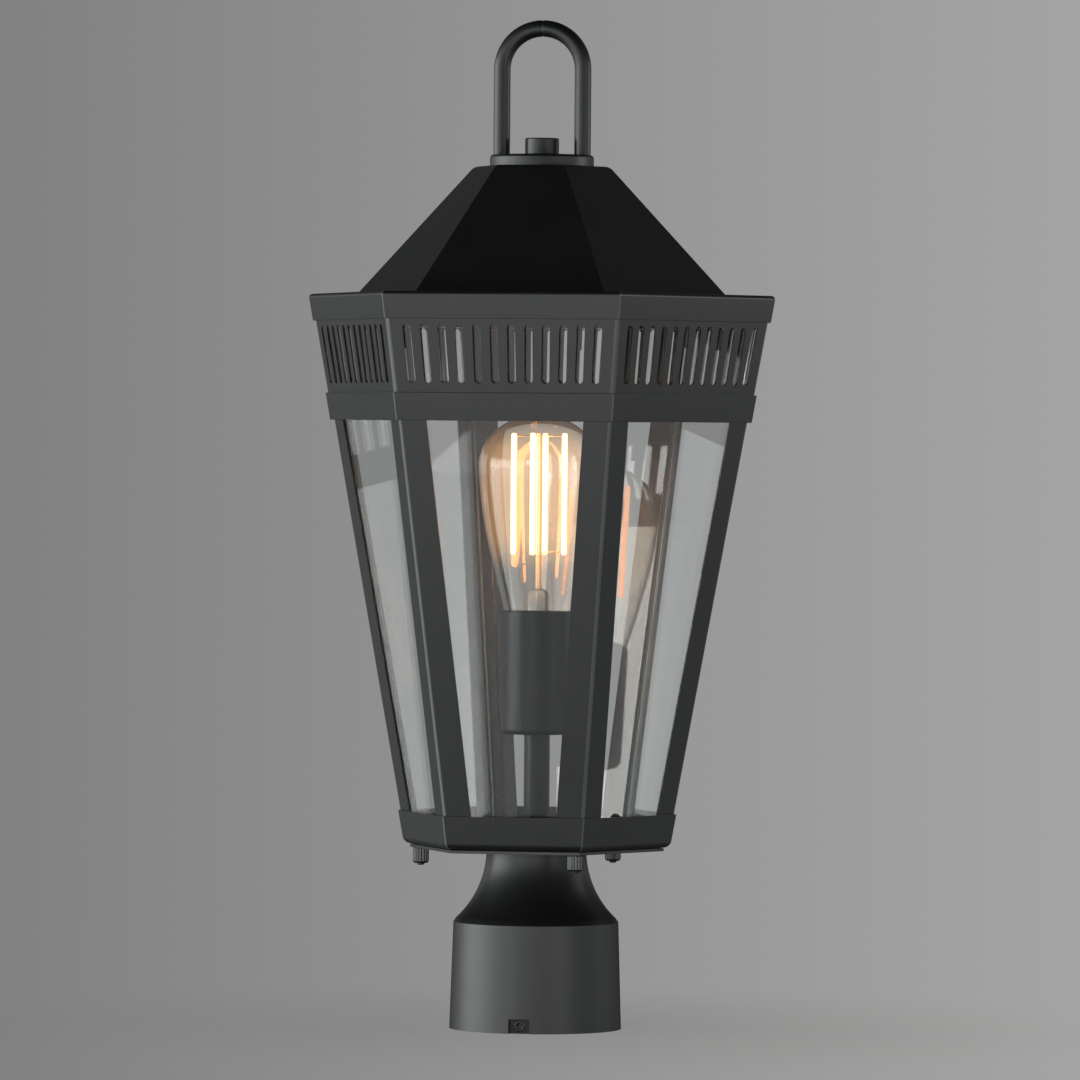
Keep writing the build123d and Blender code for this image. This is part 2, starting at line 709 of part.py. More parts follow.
def make_thumb_nut():
    """Small fluted nut on +X, turned by hand from below the plate."""
    nut_z = thumb_nut_top_z() - THUMB_NUT_HEIGHT
    nut = rod(THUMB_NUT_R, nut_z, thumb_nut_top_z())
    nut = chamfer(nut.edges().group_by(Axis.Z)[0], THUMB_NUT_EDGE)
    flute = Pos(THUMB_NUT_R, 0, 0) * rod(FLUTE_R, nut_z - SHEET, thumb_nut_top_z() - THUMB_NUT_EDGE)
    for k in range(FLUTE_COUNT):
        nut -= around(flute, 360 / FLUTE_COUNT * k)
    nut -= rod(STUD_R + STUD_FIT, nut_z - SHEET, thumb_nut_top_z() + SHEET)
    return Pos(STUD_CIRCLE_R, 0, 0) * nut


# ---- Every node, written to its own file ----
os.makedirs("parts", exist_ok=True)

save(make_post_fitter(), "post_fitter")
save(make_base_plate(), "base_plate")
save(tube(STEM_R, NIPPLE_R + NIPPLE_FIT, PLATE_TOP_Z, CUP_Z), "stem_sleeve")
save(make_nipple(), "threaded_nipple")
save(tube(WASHER_R, NIPPLE_R + NIPPLE_FIT, nipple_nut_z(), FITTER_HEIGHT - NECK_WALL), "nipple_washer")
save(
    hex_nut(NIPPLE_NUT_R, NIPPLE_R + NIPPLE_FIT, nipple_nut_z() - NIPPLE_NUT_HEIGHT, NIPPLE_NUT_HEIGHT),
    "nipple_nut",
)
save(hex_nut(NIPPLE_NUT_R, NIPPLE_R + NIPPLE_FIT, socket_nut_z(), SOCKET_NUT_HEIGHT), "socket_nut")
save(make_socket_cup(), "socket_cup")
save(make_socket_body(), "socket_body")
save(make_screw_shell(), "screw_shell")
save(make_centre_contact(), "centre_contact")
for number, screw_angle in enumerate(SET_SCREW_ANGLES, start=1):
    save(around(make_set_screw(), screw_angle), f"set_screw_{number}")

save(make_bulb_glass(), "bulb_glass")
save(make_bulb_cap(), "bulb_cap")
save(make_bulb_insulator(), "bulb_insulator")
save(make_bulb_tip(), "bulb_tip")
save(make_bulb_stalk(), "bulb_stalk")
save(make_bulb_filaments(), "bulb_filaments")
save(make_bulb_wires(), "bulb_wires")

save(make_tray(), "tray")
save(make_cage_studs(), "cage_studs")
for number, corner_angle in enumerate(CORNER_ANGLES, start=1):
    save(around(make_corner_post(), corner_angle), f"corner_post_{number}")
    save(around(make_glass_pane(), corner_angle), f"glass_pane_{number}")
    save(around(make_vent_panel(), corner_angle), f"vent_panel_{number}")
save(Compound([around(make_glass_clip(), 30 + angle) for angle in CORNER_ANGLES]), "glass_clips")
save(cage_band(BAND_Z, BAND_TOP_Z, 2 * LAP + SHEET), "lower_band")
save(make_roof_rim(), "roof_rim")
save(make_roof_shell(), "roof_shell")
save(make_loop_plate(), "loop_plate")
save(make_hanging_loop(), "hanging_loop")
save(make_finial_stud(), "finial_stud")
save(make_roof_washer(), "roof_washer")
save(make_roof_nut(), "roof_nut")

save(make_finial_nut(), "finial_nut")
for number, stud_angle in enumerate(STUD_ANGLES, start=1):
    save(around(make_thumb_nut(), stud_angle), f"thumb_nut_{number}")
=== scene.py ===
from math import asin, atan, cos, pi, radians, sin, sqrt

import bpy
from mathutils import Matrix, Vector


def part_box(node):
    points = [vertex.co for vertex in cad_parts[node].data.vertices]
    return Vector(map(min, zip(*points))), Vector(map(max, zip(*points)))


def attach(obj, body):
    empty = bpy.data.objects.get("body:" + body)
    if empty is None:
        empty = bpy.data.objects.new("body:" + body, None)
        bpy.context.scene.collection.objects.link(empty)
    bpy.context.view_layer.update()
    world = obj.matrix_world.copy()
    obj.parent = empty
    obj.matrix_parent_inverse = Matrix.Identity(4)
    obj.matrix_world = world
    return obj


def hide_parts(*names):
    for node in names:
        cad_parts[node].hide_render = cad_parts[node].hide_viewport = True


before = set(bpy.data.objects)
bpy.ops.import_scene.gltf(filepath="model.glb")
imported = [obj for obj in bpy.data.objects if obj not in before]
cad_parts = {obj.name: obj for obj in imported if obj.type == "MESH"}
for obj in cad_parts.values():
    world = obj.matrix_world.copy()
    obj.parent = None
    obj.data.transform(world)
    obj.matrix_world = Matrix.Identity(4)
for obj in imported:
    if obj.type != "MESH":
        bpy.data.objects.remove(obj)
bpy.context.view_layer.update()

# The lantern is dressed from the post fitter upwards, in the order in which it goes together,
# and the studio round it comes last. Lengths are in metres, so a millimetre is mm.
mm = 0.001


# ---- Post fitter ----
# One casting that drops over the lamp post: a plain cup, a bevelled shoulder and a concave
# neck, with a pocket for each set screw milled up from its rim. It is powder coated charcoal.
def turned(name, outline, sides=128):
    """Closed ring: a circle at the outline's first radius and height, drawn on point by point."""
    radius, height = outline[0]
    turn = pi / sides if sides == 6 else 0
    bpy.ops.object.select_all(action="DESELECT")
    bpy.ops.mesh.primitive_circle_add(
        vertices=sides, radius=radius, location=(0, 0, height), rotation=(0, 0, turn)
    )
    piece = bpy.context.object
    piece.name = name
    bpy.ops.object.transform_apply()
    bpy.ops.object.mode_set(mode="EDIT")
    for next_radius, next_height in outline[1:] + outline[:1]:
        rise = (0, 0, next_height - height)
        bpy.ops.mesh.extrude_region_move(TRANSFORM_OT_translate={"value": rise})
        growth = next_radius / radius
        bpy.ops.transform.resize(value=(growth, growth, 1), center_override=(0, 0, next_height))
        radius, height = next_radius, next_height
    bpy.ops.mesh.select_all(action="SELECT")
    bpy.ops.mesh.remove_doubles(threshold=0.001 * mm)
    bpy.ops.mesh.normals_make_consistent(inside=False)
    bpy.ops.object.mode_set(mode="OBJECT")
    return piece


def modified(piece, kind, **settings):
    """Adds one modifier to a piece, sets it up and applies it."""
    modifier = piece.modifiers.new(kind.title(), kind)
    for setting, value in settings.items():
        setattr(modifier, setting, value)
    bpy.context.view_layer.objects.active = piece
    bpy.ops.object.modifier_apply(modifier=modifier.name)


def cut_away(piece, cutter):
    """Takes the cutter's shape out of a piece, and throws the cutter away."""
    modified(piece, "BOOLEAN", operation="DIFFERENCE", object=cutter, solver="MANIFOLD")
    bpy.data.objects.remove(cutter)


def eased(piece, radius, steps=2, sharper_than=30):
    """Rounds every edge that turns more sharply than an angle, and shades the rest smooth."""
    modified(
        piece, "BEVEL", width=radius, segments=steps, limit_method="ANGLE",
        angle_limit=radians(sharper_than), harden_normals=False,
    )
    shaded(piece)


def shaded(piece):
    """Shades gentle turns smooth, and keeps flat faces flat up to their edges."""
    bpy.ops.object.select_all(action="DESELECT")
    piece.select_set(True)
    bpy.context.view_layer.objects.active = piece
    bpy.ops.object.shade_smooth_by_angle(angle=radians(35))
    modified(piece, "WEIGHTED_NORMAL", keep_sharp=True)


def block(size, middle, turn=0):
    """Box that is used as a cutter, turned about the axis of the lantern."""
    bpy.ops.object.select_all(action="DESELECT")
    bpy.ops.mesh.primitive_cube_add(size=1)
    cutter = bpy.context.object
    stretch = Matrix.Diagonal((*size, 1))
    cutter.matrix_world = Matrix.Rotation(turn, 4, "Z") @ Matrix.Translation(middle) @ stretch
    return cutter


def drill(radius, length, middle, lay=0, turn=0):
    """Round bar that is used as a cutter. lay turns it down from upright, along +X."""
    bpy.ops.object.select_all(action="DESELECT")
    bpy.ops.mesh.primitive_cylinder_add(vertices=48, radius=radius, depth=length)
    cutter = bpy.context.object
    tilt = Matrix.Rotation(lay, 4, "Y")
    cutter.matrix_world = Matrix.Rotation(turn, 4, "Z") @ Matrix.Translation(middle) @ tilt
    return cutter


def new_material(name):
    """A material, with its nodes, its links and its surface."""
    material = bpy.data.materials.new(name)
    material.use_nodes = True
    nodes = material.node_tree.nodes
    return material, nodes, material.node_tree.links, nodes["Principled BSDF"]


def powder_coat(name, colour, roughness, ior=1.6):
    """Baked satin paint: a faint orange peel in the gloss, and slightly uneven colour."""
    material, nodes, links, paint = new_material(name)
    paint.inputs["IOR"].default_value = ior

    place = nodes.new("ShaderNodeTexCoord")
    cloud = nodes.new("ShaderNodeTexNoise")
    cloud.inputs["Scale"].default_value = 35
    cloud.inputs["Detail"].default_value = 4
    links.new(place.outputs["Object"], cloud.inputs["Vector"])
    tint = nodes.new("ShaderNodeValToRGB")
    tint.color_ramp.elements[0].position = 0.3
    tint.color_ramp.elements[0].color = (*[c * 0.88 for c in colour], 1)
    tint.color_ramp.elements[1].position = 0.7
    tint.color_ramp.elements[1].color = (*[c * 1.12 for c in colour], 1)
    links.new(cloud.outputs["Fac"], tint.inputs["Fac"])
    links.new(tint.outputs["Color"], paint.inputs["Base Color"])

    gloss = nodes.new("ShaderNodeMapRange")
    gloss.inputs["To Min"].default_value = roughness - 0.04
    gloss.inputs["To Max"].default_value = roughness + 0.04
    links.new(cloud.outputs["Fac"], gloss.inputs["Value"])
    links.new(gloss.outputs["Result"], paint.inputs["Roughness"])

    peel = nodes.new("ShaderNodeTexNoise")
    peel.inputs["Scale"].default_value = 900
    peel.inputs["Detail"].default_value = 2
    links.new(place.outputs["Object"], peel.inputs["Vector"])
    bump = nodes.new("ShaderNodeBump")
    bump.inputs["Strength"].default_value = 0.12
    bump.inputs["Distance"].default_value = 0.05 * mm
    links.new(peel.outputs["Fac"], bump.inputs["Height"])
    links.new(bump.outputs["Normal"], paint.inputs["Normal"])
    return material


charcoal = powder_coat("charcoal_powder_coat", (0.0060, 0.0063, 0.0067), 0.35)
# The second black is the stem's and cup's matt paint, and is also painted as shade into the set
# screws' pockets.
matt_black_and_pocket_shade = powder_coat("matt_black_paint_and_pocket_shade", (0.004, 0.004, 0.004), 0.38, 1.4)


def finished(piece, material, body, slot, *nodes):
    """Gives a piece its material, unless it has one, and its body, and hides the CAD nodes that it
    stands for. Its slot is not used.
    """
    if not any(piece.data.materials):
        piece.data.materials.clear()
        piece.data.materials.append(material)
    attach(piece, body)
    if nodes:
        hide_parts(*nodes)


fitter_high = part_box("post_fitter")[1]
rim_r, fitter_top = fitter_high.x, fitter_high.z
fitter_edge = 0.35 * mm
bore_r, bore_depth = 39.0 * mm, 50.0 * mm
shoulder_r, shoulder_z = 43.7 * mm, 56.4 * mm
shoulder_bevel = 1.4 * mm
neck_top_r, cove_r = 26.4 * mm, 49.7 * mm
neck_wall, neck_hollow_r = 6.9 * mm, 19.0 * mm
nipple_hole_r = 4.9 * mm
cove_foot_r = shoulder_r - shoulder_bevel
cove_turn = asin(sqrt(1 - (1 - (cove_foot_r - neck_top_r) / cove_r) ** 2))
cove_steps = 24

outline = [(bore_r, 0), (rim_r, 0), (shoulder_r, shoulder_z)]
for step in range(cove_steps + 1):
    turn = cove_turn * (1 - step / cove_steps)
    outline.append((neck_top_r + cove_r * (1 - cos(turn)), fitter_top - cove_r * sin(turn)))
outline += [
    (nipple_hole_r, fitter_top),
    (nipple_hole_r, fitter_top - neck_wall),
    (neck_hollow_r, fitter_top - neck_wall),
    (neck_hollow_r, bore_depth),
    (bore_r, bore_depth),
]
fitter = turned("post_fitter_casting", outline)

screw_angles = [radians(-90), radians(30), radians(150)]
pocket_width, pocket_height, pocket_depth = 11.2 * mm, 7.7 * mm, 2.6 * mm
pocket_size = (2 * pocket_depth, pocket_width, 2 * pocket_height)
screw_hole_r, screw_hole_length, screw_z = 3.0 * mm, 12 * mm, 3.9 * mm
wall_middle = ((rim_r + bore_r) / 2, 0, screw_z)
for angle in screw_angles:
    cut_away(fitter, block(pocket_size, (rim_r, 0, 0), angle))
    cut_away(fitter, drill(screw_hole_r, screw_hole_length, wall_middle, radians(90), angle))
eased(fitter, fitter_edge, 3)
finished(fitter, charcoal, "base", "charcoal_paint", "post_fitter")

# The faces of the pockets get the darker, less glossy black, as painted shade in the recesses.
outer_skin, inner_skin, pocket_margin = 0.4 * mm, 0.2 * mm, 0.5 * mm
fitter.data.materials.append(matt_black_and_pocket_shade)
for face in fitter.data.polygons:
    depth = rim_r - face.center.xy.length
    within_wall = outer_skin < depth < rim_r - bore_r - inner_skin
    if within_wall and 0 < face.center.z < pocket_height + pocket_margin:
        face.material_index = 1


# ---- Set screws ----
# Three headless steel screws that pinch the post. Each lies in its pocket with a hexagon
# socket outwards, and is blackened, so that only its edges catch the light.
def clouded(nodes, links, surface, colour, darkest, scale, detail=2):
    """Gives a surface a colour with soft darker clouds in it, and returns the clouds."""
    place = nodes.new("ShaderNodeTexCoord")
    clouds = nodes.new("ShaderNodeTexNoise")
    clouds.inputs["Scale"].default_value = scale
    clouds.inputs["Detail"].default_value = detail
    links.new(place.outputs["Object"], clouds.inputs["Vector"])
    tint = nodes.new("ShaderNodeValToRGB")
    tint.color_ramp.elements[0].color = (*[c * darkest for c in colour], 1)
    tint.color_ramp.elements[1].color = (*colour, 1)
    links.new(clouds.outputs["Fac"], tint.inputs["Fac"])
    links.new(tint.outputs["Color"], surface.inputs["Base Color"])
    return clouds


def metal(name, colour, roughness, mottle):
    """Bare or plated metal whose gloss is slightly patchy."""
    material, nodes, links, surface = new_material(name)
    surface.inputs["Metallic"].default_value = 1
    patches = clouded(nodes, links, surface, colour, 0.8, 260, 5)
    gloss = nodes.new("ShaderNodeMapRange")
    gloss.inputs["To Min"].default_value = max(roughness - mottle, 0.02)
    gloss.inputs["To Max"].default_value = roughness + mottle
    links.new(patches.outputs["Fac"], gloss.inputs["Value"])
    links.new(gloss.outputs["Result"], surface.inputs["Roughness"])
    return material


blackened_steel = metal("blackened_steel", (0.045, 0.045, 0.045), 0.16, 0.08)
screw_start = bore_r + 0.3 * mm
screw_r, screw_length, screw_edge = 2.95 * mm, 3.6 * mm, 0.25 * mm
socket_r, socket_depth = 1.6 * mm, 1.8 * mm
core_r, core_length = 1.3 * socket_r, screw_length - socket_depth
for number, angle in enumerate(screw_angles, start=1):
    outline = [(socket_r, screw_length), (screw_r, screw_length), (screw_r, 0), (socket_r, 0)]
    screw = turned(f"set_screw_{number}_body", outline, 48)
    bpy.ops.object.select_all(action="DESELECT")
    bpy.ops.mesh.primitive_cylinder_add(
        vertices=6, radius=core_r, depth=core_length, location=(0, 0, core_length / 2)
    )
    core = bpy.context.object
    modified(screw, "BOOLEAN", operation="UNION", object=core, solver="EXACT")
    bpy.data.objects.remove(core)
    eased(screw, screw_edge, 2)
    screw.data.transform(
        Matrix.Rotation(angle, 4, "Z")
        @ Matrix.Translation((screw_start, 0, screw_z))
        @ Matrix.Rotation(radians(90), 4, "Y")
    )
    finished(screw, blackened_steel, f"set_screw_{number}", "blackened_steel", f"set_screw_{number}")


# ---- Base plate ----
# Thin steel plate, a hexagon a little smaller than the tray, clamped on the neck. It is laser
# cut with one hole for the nipple and one for each of the cage's studs.
def hexagon_slab(name, corner_r, low_z, high_z):
    """Six-sided slab with its corners on +X and at every 60 degrees from there."""
    bpy.ops.object.select_all(action="DESELECT")
    bpy.ops.mesh.primitive_cylinder_add(
        vertices=6, radius=corner_r, depth=high_z - low_z,
        location=(0, 0, (low_z + high_z) / 2), rotation=(0, 0, radians(30)),
    )
    slab = bpy.context.object
    slab.name = name
    bpy.ops.object.transform_apply()
    return slab


plate_low, plate_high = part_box("base_plate")
plate_edge = 0.3 * mm
stud_angles = [radians(180), radians(-60), radians(60)]
stud_circle_r, stud_hole_r = 62.5 * mm, 2.4 * mm
drill_length = 10 * mm
plate = hexagon_slab("base_plate_sheet", plate_high.x, plate_low.z, plate_high.z)
cut_away(plate, drill(nipple_hole_r, drill_length, (0, 0, plate_low.z)))
for angle in stud_angles:
    cut_away(plate, drill(stud_hole_r, drill_length, (stud_circle_r, 0, plate_low.z), turn=angle))
eased(plate, plate_edge)
finished(plate, charcoal, "base", "charcoal_paint", "base_plate")


# ---- Thumb nuts ----
# Three small brass nuts in dark nickel plate, knurled with straight flutes for the fingers,
# that hold the cage's studs from below. Each is a body of its own, because it is screwed off.
dark_nickel = metal("dark_nickel", (0.085, 0.085, 0.085), 0.16, 0.06)
thumb_r, thumb_bore_r, thumb_edge = 4.3 * mm, 2.06 * mm, 0.7 * mm
flutes, points_a_flute = 16, 6
groove_depth, groove_squareness = 0.11, 0.7
for number, angle in enumerate(stud_angles, start=1):
    thumb_low, thumb_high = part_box(f"thumb_nut_{number}")
    outline = [
        (thumb_bore_r, thumb_high.z),
        (thumb_r * 0.9, thumb_high.z),
        (thumb_r, thumb_high.z - thumb_edge),
        (thumb_r, thumb_low.z + thumb_edge * 1.4),
        (thumb_r * 0.8, thumb_low.z),
        (thumb_bore_r, thumb_low.z),
    ]
    thumb = turned(f"thumb_nut_{number}_knurled", outline, points_a_flute * flutes)
    for vertex in thumb.data.vertices:
        place = Vector((vertex.co.x, vertex.co.y))
        turn = place.angle_signed(Vector((1, 0)), 0) * flutes
        if place.length > thumb_r * 0.95:
            groove = groove_depth * max(0, cos(turn)) ** groove_squareness
            vertex.co.x, vertex.co.y = place * (1 - groove)
    eased(thumb, 0.08 * mm, 1, 25)
    thumb.data.transform(
        Matrix.Rotation(angle, 4, "Z") @ Matrix.Translation((stud_circle_r, 0, 0))
    )
    finished(thumb, dark_nickel, f"thumb_nut_{number}", "dark_nickel", f"thumb_nut_{number}")


# ---- Stem and lampholder ----
# A plain painted tube stands on the plate and carries a spun steel cup, rounded where it turns
# in at the bottom. The threaded nipple inside clamps both, and the lampholder fills the cup.
stem_low, stem_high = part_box("stem_sleeve")
stem = turned("stem_tube", [
    (nipple_hole_r, stem_low.z),
    (stem_high.x, stem_low.z),
    (stem_high.x, stem_high.z),
    (nipple_hole_r, stem_high.z),
], 64)
eased(stem, 0.2 * mm)
finished(stem, matt_black_and_pocket_shade, "base", "charcoal_paint", "stem_sleeve")

cup_low, cup_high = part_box("socket_cup")
cup_r, cup_wall, cup_bend = cup_high.x, 0.8 * mm, 3.0 * mm
inner_bend = cup_bend - cup_wall
bend_steps = 6
outline = [(nipple_hole_r, cup_low.z)]
for step in range(bend_steps + 1):
    turn = radians(90) * step / bend_steps
    outline.append((cup_r - cup_bend * (1 - sin(turn)), cup_low.z + cup_bend * (1 - cos(turn))))
outline += [(cup_r, cup_high.z), (cup_r - cup_wall, cup_high.z)]
for step in range(bend_steps + 1):
    turn = radians(90) * (1 - step / bend_steps)
    inside_r = cup_r - cup_bend + inner_bend * sin(turn)
    outline.append((inside_r, cup_low.z + cup_bend - inner_bend * cos(turn)))
outline.append((nipple_hole_r, cup_low.z + cup_wall))
cup = turned("lampholder_cup", outline, 96)
eased(cup, 0.2 * mm)
finished(cup, matt_black_and_pocket_shade, "base", "charcoal_paint", "socket_cup")


def glazed(name, colour):
    """Glazed porcelain with faint pooling in the glaze."""
    material, nodes, links, glaze = new_material(name)
    glaze.inputs["Roughness"].default_value = 0.15
    clouded(nodes, links, glaze, colour, 0.92, 60)
    return material


def repainted(node, material):
    """Gives a CAD node that keeps its own shape a finished material."""
    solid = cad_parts[node]
    solid.data.materials.clear()
    solid.data.materials.append(material)


zinc = metal("zinc_plate", (0.55, 0.55, 0.53), 0.35, 0.1)
brass = metal("brass", (0.70, 0.50, 0.22), 0.3, 0.08)
repainted("socket_body", glazed("porcelain", (0.80, 0.79, 0.75)))
repainted("screw_shell", brass)
repainted("centre_contact", brass)
nipple_parts = ("threaded_nipple", "nipple_washer", "nipple_nut", "socket_nut")
for node in nipple_parts + ("finial_stud", "roof_washer", "roof_nut"):
    repainted(node, zinc)


# ---- Bulb ----
# Clear filament-style bulb: a blown glass envelope that swells to a broad shoulder, a glass
# stalk sealed into its neck, and four glowing rods held between wires. Its cap is nickelled.
def clear_glass(name, colour, roughness=0.0, ior=1.5):
    """Clear glass with a faint unevenness of colour. Lamplight and daylight pass through it."""
    material, nodes, links, glass = new_material(name)
    glass.inputs["Transmission Weight"].default_value = 1
    glass.inputs["IOR"].default_value = ior
    glass.inputs["Roughness"].default_value = roughness
    clouded(nodes, links, glass, colour, 0.99, 18)
    passing = nodes.new("ShaderNodeBsdfTransparent")
    passing.inputs["Color"].default_value = (*colour, 1)
    ray = nodes.new("ShaderNodeLightPath")
    shade_or_bounce = nodes.new("ShaderNodeMath")
    shade_or_bounce.operation = "MAXIMUM"
    links.new(ray.outputs["Is Shadow Ray"], shade_or_bounce.inputs[0])
    links.new(ray.outputs["Is Diffuse Ray"], shade_or_bounce.inputs[1])
    blend = nodes.new("ShaderNodeMixShader")
    links.new(shade_or_bounce.outputs["Value"], blend.inputs["Fac"])
    links.new(glass.outputs["BSDF"], blend.inputs[1])
    links.new(passing.outputs["BSDF"], blend.inputs[2])
    links.new(blend.outputs["Shader"], nodes["Material Output"].inputs["Surface"])
    return material


bulb_low, bulb_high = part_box("bulb_glass")
bulb_r, bulb_top, neck_z = bulb_high.x, bulb_high.z, bulb_low.z
neck_r, mouth_r, mouth_z = 13.2 * mm, 18.1 * mm, cup_high.z
crown_drop = 27.0 * mm
shoulder_level = bulb_top - crown_drop
bulb_wall = 0.8 * mm
pole_r = 0.2 * mm
neck_curve, side_belly, shoulder_ease = 1.3, 0.10, 0.12


def bulb_side(z):
    """Radius of the glass between its neck and its broad shoulder."""
    if z < mouth_z:
        climb = radians(90) * (z - neck_z) / (mouth_z - neck_z)
        return neck_r + (mouth_r - neck_r) * sin(climb) ** neck_curve
    rise = (z - mouth_z) / (shoulder_level - mouth_z)
    straight = (1 + shoulder_ease) * rise - shoulder_ease * rise ** 6
    return mouth_r + (bulb_r - mouth_r) * (straight + side_belly * sin(pi * rise))


outline = []
side_steps, crown_steps = 26, 16
for step in range(side_steps):
    z = neck_z + (shoulder_level - neck_z) * step / side_steps
    outline.append((bulb_side(z), z))
for step in range(crown_steps):
    turn = radians(90) * step / crown_steps
    outline.append((bulb_r * cos(turn), shoulder_level + crown_drop * sin(turn)))
inner = [(r - bulb_wall, z - bulb_wall * 0.6) for r, z in outline[-1:0:-1] if r > 2 * bulb_wall]
outline.append((pole_r, bulb_top))
inner = [(pole_r, bulb_top - bulb_wall)] + inner + [(neck_r - bulb_wall, neck_z)]
envelope = turned("bulb_envelope", outline + inner, 96)

# The two small holes at the crown's pole are drawn together to points.
for hole_z in (bulb_top, bulb_top - bulb_wall):
    bpy.context.view_layer.objects.active = envelope
    bpy.ops.object.mode_set(mode="EDIT")
    bpy.ops.mesh.select_mode(type="VERT")
    bpy.ops.mesh.select_all(action="DESELECT")
    bpy.ops.object.mode_set(mode="OBJECT")
    for vertex in envelope.data.vertices:
        vertex.select = abs(vertex.co.z - hole_z) < 0.01 * mm
    bpy.ops.object.mode_set(mode="EDIT")
    bpy.ops.mesh.merge(type="CENTER")
    bpy.ops.mesh.select_all(action="SELECT")
    bpy.ops.mesh.delete_loose()
    bpy.ops.object.mode_set(mode="OBJECT")
shaded(envelope)


def painted_glow(material, low_z, high_z, fade, strength):
    """Paints an amber glow into the glass in front of the rods, between two heights: a painted glow,
    as the glass is no lamp.
    """
    nodes, links = material.node_tree.nodes, material.node_tree.links
    place = nodes.new("ShaderNodeTexCoord")
    height = nodes.new("ShaderNodeSeparateXYZ")
    links.new(place.outputs["Object"], height.inputs["Vector"])
    facing = nodes.new("ShaderNodeLayerWeight")
    glow_level = None
    for source, start, end in (
        (height.outputs["Z"], low_z - fade, low_z + fade),
        (height.outputs["Z"], high_z + fade, high_z - fade),
        (facing.outputs["Facing"], 0.75, 0.0),
    ):
        part = nodes.new("ShaderNodeMapRange")
        part.interpolation_type = "SMOOTHSTEP"
        part.inputs["From Min"].default_value = start
        part.inputs["From Max"].default_value = end
        links.new(source, part.inputs["Value"])
        product = nodes.new("ShaderNodeMath")
        product.operation = "MULTIPLY"
        product.inputs[1].default_value = strength
        links.new(part.outputs["Result"], product.inputs[0])
        if glow_level:
            links.new(glow_level, product.inputs[1])
        glow_level = product.outputs["Value"]
    glass = nodes["Principled BSDF"]
    glass.inputs["Emission Color"].default_value = (1.0, 0.48, 0.14, 1)
    links.new(glow_level, glass.inputs["Emission Strength"])


bulb_glass = clear_glass("bulb_glass_clear", (0.99, 0.97, 0.94), ior=1.45)
rod_low, rod_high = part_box("bulb_filaments")
# The envelope gets a painted amber glow in front of the rods.
painted_glow(bulb_glass, rod_low.z, rod_high.z, 12 * mm, 0.13)
finished(envelope, bulb_glass, "bulb", "bulb_glass", "bulb_glass")

stalk_low, stalk_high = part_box("bulb_stalk")
stalk_r, flare_r, flare_top = 1.7 * mm, 6.0 * mm, stalk_low.z + 23.5 * mm
flare_start_r, flare_drop, flare_steps = 1.3 * stalk_r, 4 * mm, 7
centre_r = 0.3 * mm
outline = [
    (centre_r, stalk_high.z),
    (stalk_r * 0.8, stalk_high.z - 0.3 * mm),
    (stalk_r, stalk_high.z - 1 * mm),
    (stalk_r, flare_top + 3 * mm),
    (stalk_r * 1.15, flare_top + 1 * mm),
]
for step in range(flare_steps + 1):
    turn = radians(90) * step / flare_steps
    round_r = flare_start_r + (flare_r - flare_start_r) * sin(turn)
    outline.append((round_r, flare_top - flare_drop * (1 - cos(turn))))
outline += [
    (flare_r, stalk_low.z + 8 * mm),
    (stalk_high.x, stalk_low.z),
    (centre_r, stalk_low.z),
]
stalk = turned("bulb_stalk_glass", outline, 48)
shaded(stalk)
stalk_glass = clear_glass("stalk_glass", (0.99, 0.97, 0.94), ior=1.2)
# The stalk gets the same painted glow.
painted_glow(stalk_glass, flare_top, rod_high.z, 8 * mm, 0.25)
finished(stalk, stalk_glass, "bulb", "bulb_glass", "bulb_stalk")


def glowing(name, core, edge, seen_strength, mirrored_strength, thrown_strength):
    """Lit rod: yellow-white along its middle, amber at its outline, in mirrors and on paint."""
    material, nodes, links, coating = new_material(name)
    coating.inputs["Base Color"].default_value = (*edge, 1)
    coating.inputs["Roughness"].default_value = 0.5
    facing = nodes.new("ShaderNodeLayerWeight")
    facing.inputs["Blend"].default_value = 0.4
    ramp = nodes.new("ShaderNodeValToRGB")
    ramp.color_ramp.elements[0].color = (*core, 1)
    ramp.color_ramp.elements[0].position = 0.2
    ramp.color_ramp.elements[1].color = (*edge, 1)
    ramp.color_ramp.elements[1].position = 0.85
    links.new(facing.outputs["Facing"], ramp.inputs["Fac"])

    ray = nodes.new("ShaderNodeLightPath")
    mirrored = nodes.new("ShaderNodeMath")
    mirrored.operation = "SUBTRACT"
    mirrored.use_clamp = True
    links.new(ray.outputs["Ray Depth"], mirrored.inputs[0])
    links.new(ray.outputs["Transmission Depth"], mirrored.inputs[1])
    hue = nodes.new("ShaderNodeMix")
    hue.data_type = "RGBA"
    hue.inputs["B"].default_value = (*edge, 1)
    links.new(mirrored.outputs["Value"], hue.inputs["Factor"])
    links.new(ramp.outputs["Color"], hue.inputs["A"])
    links.new(hue.outputs["Result"], coating.inputs["Emission Color"])

    visible = nodes.new("ShaderNodeMapRange")
    visible.inputs["To Min"].default_value = seen_strength
    visible.inputs["To Max"].default_value = mirrored_strength
    links.new(mirrored.outputs["Value"], visible.inputs["Value"])
    seen = nodes.new("ShaderNodeMath")
    seen.operation = "MAXIMUM"
    links.new(ray.outputs["Is Camera Ray"], seen.inputs[0])
    links.new(ray.outputs["Is Transmission Ray"], seen.inputs[1])
    strength = nodes.new("ShaderNodeMapRange")
    strength.inputs["To Min"].default_value = thrown_strength
    links.new(seen.outputs["Value"], strength.inputs["Value"])
    links.new(visible.outputs["Result"], strength.inputs["To Max"])
    links.new(strength.outputs["Result"], coating.inputs["Emission Strength"])
    return material


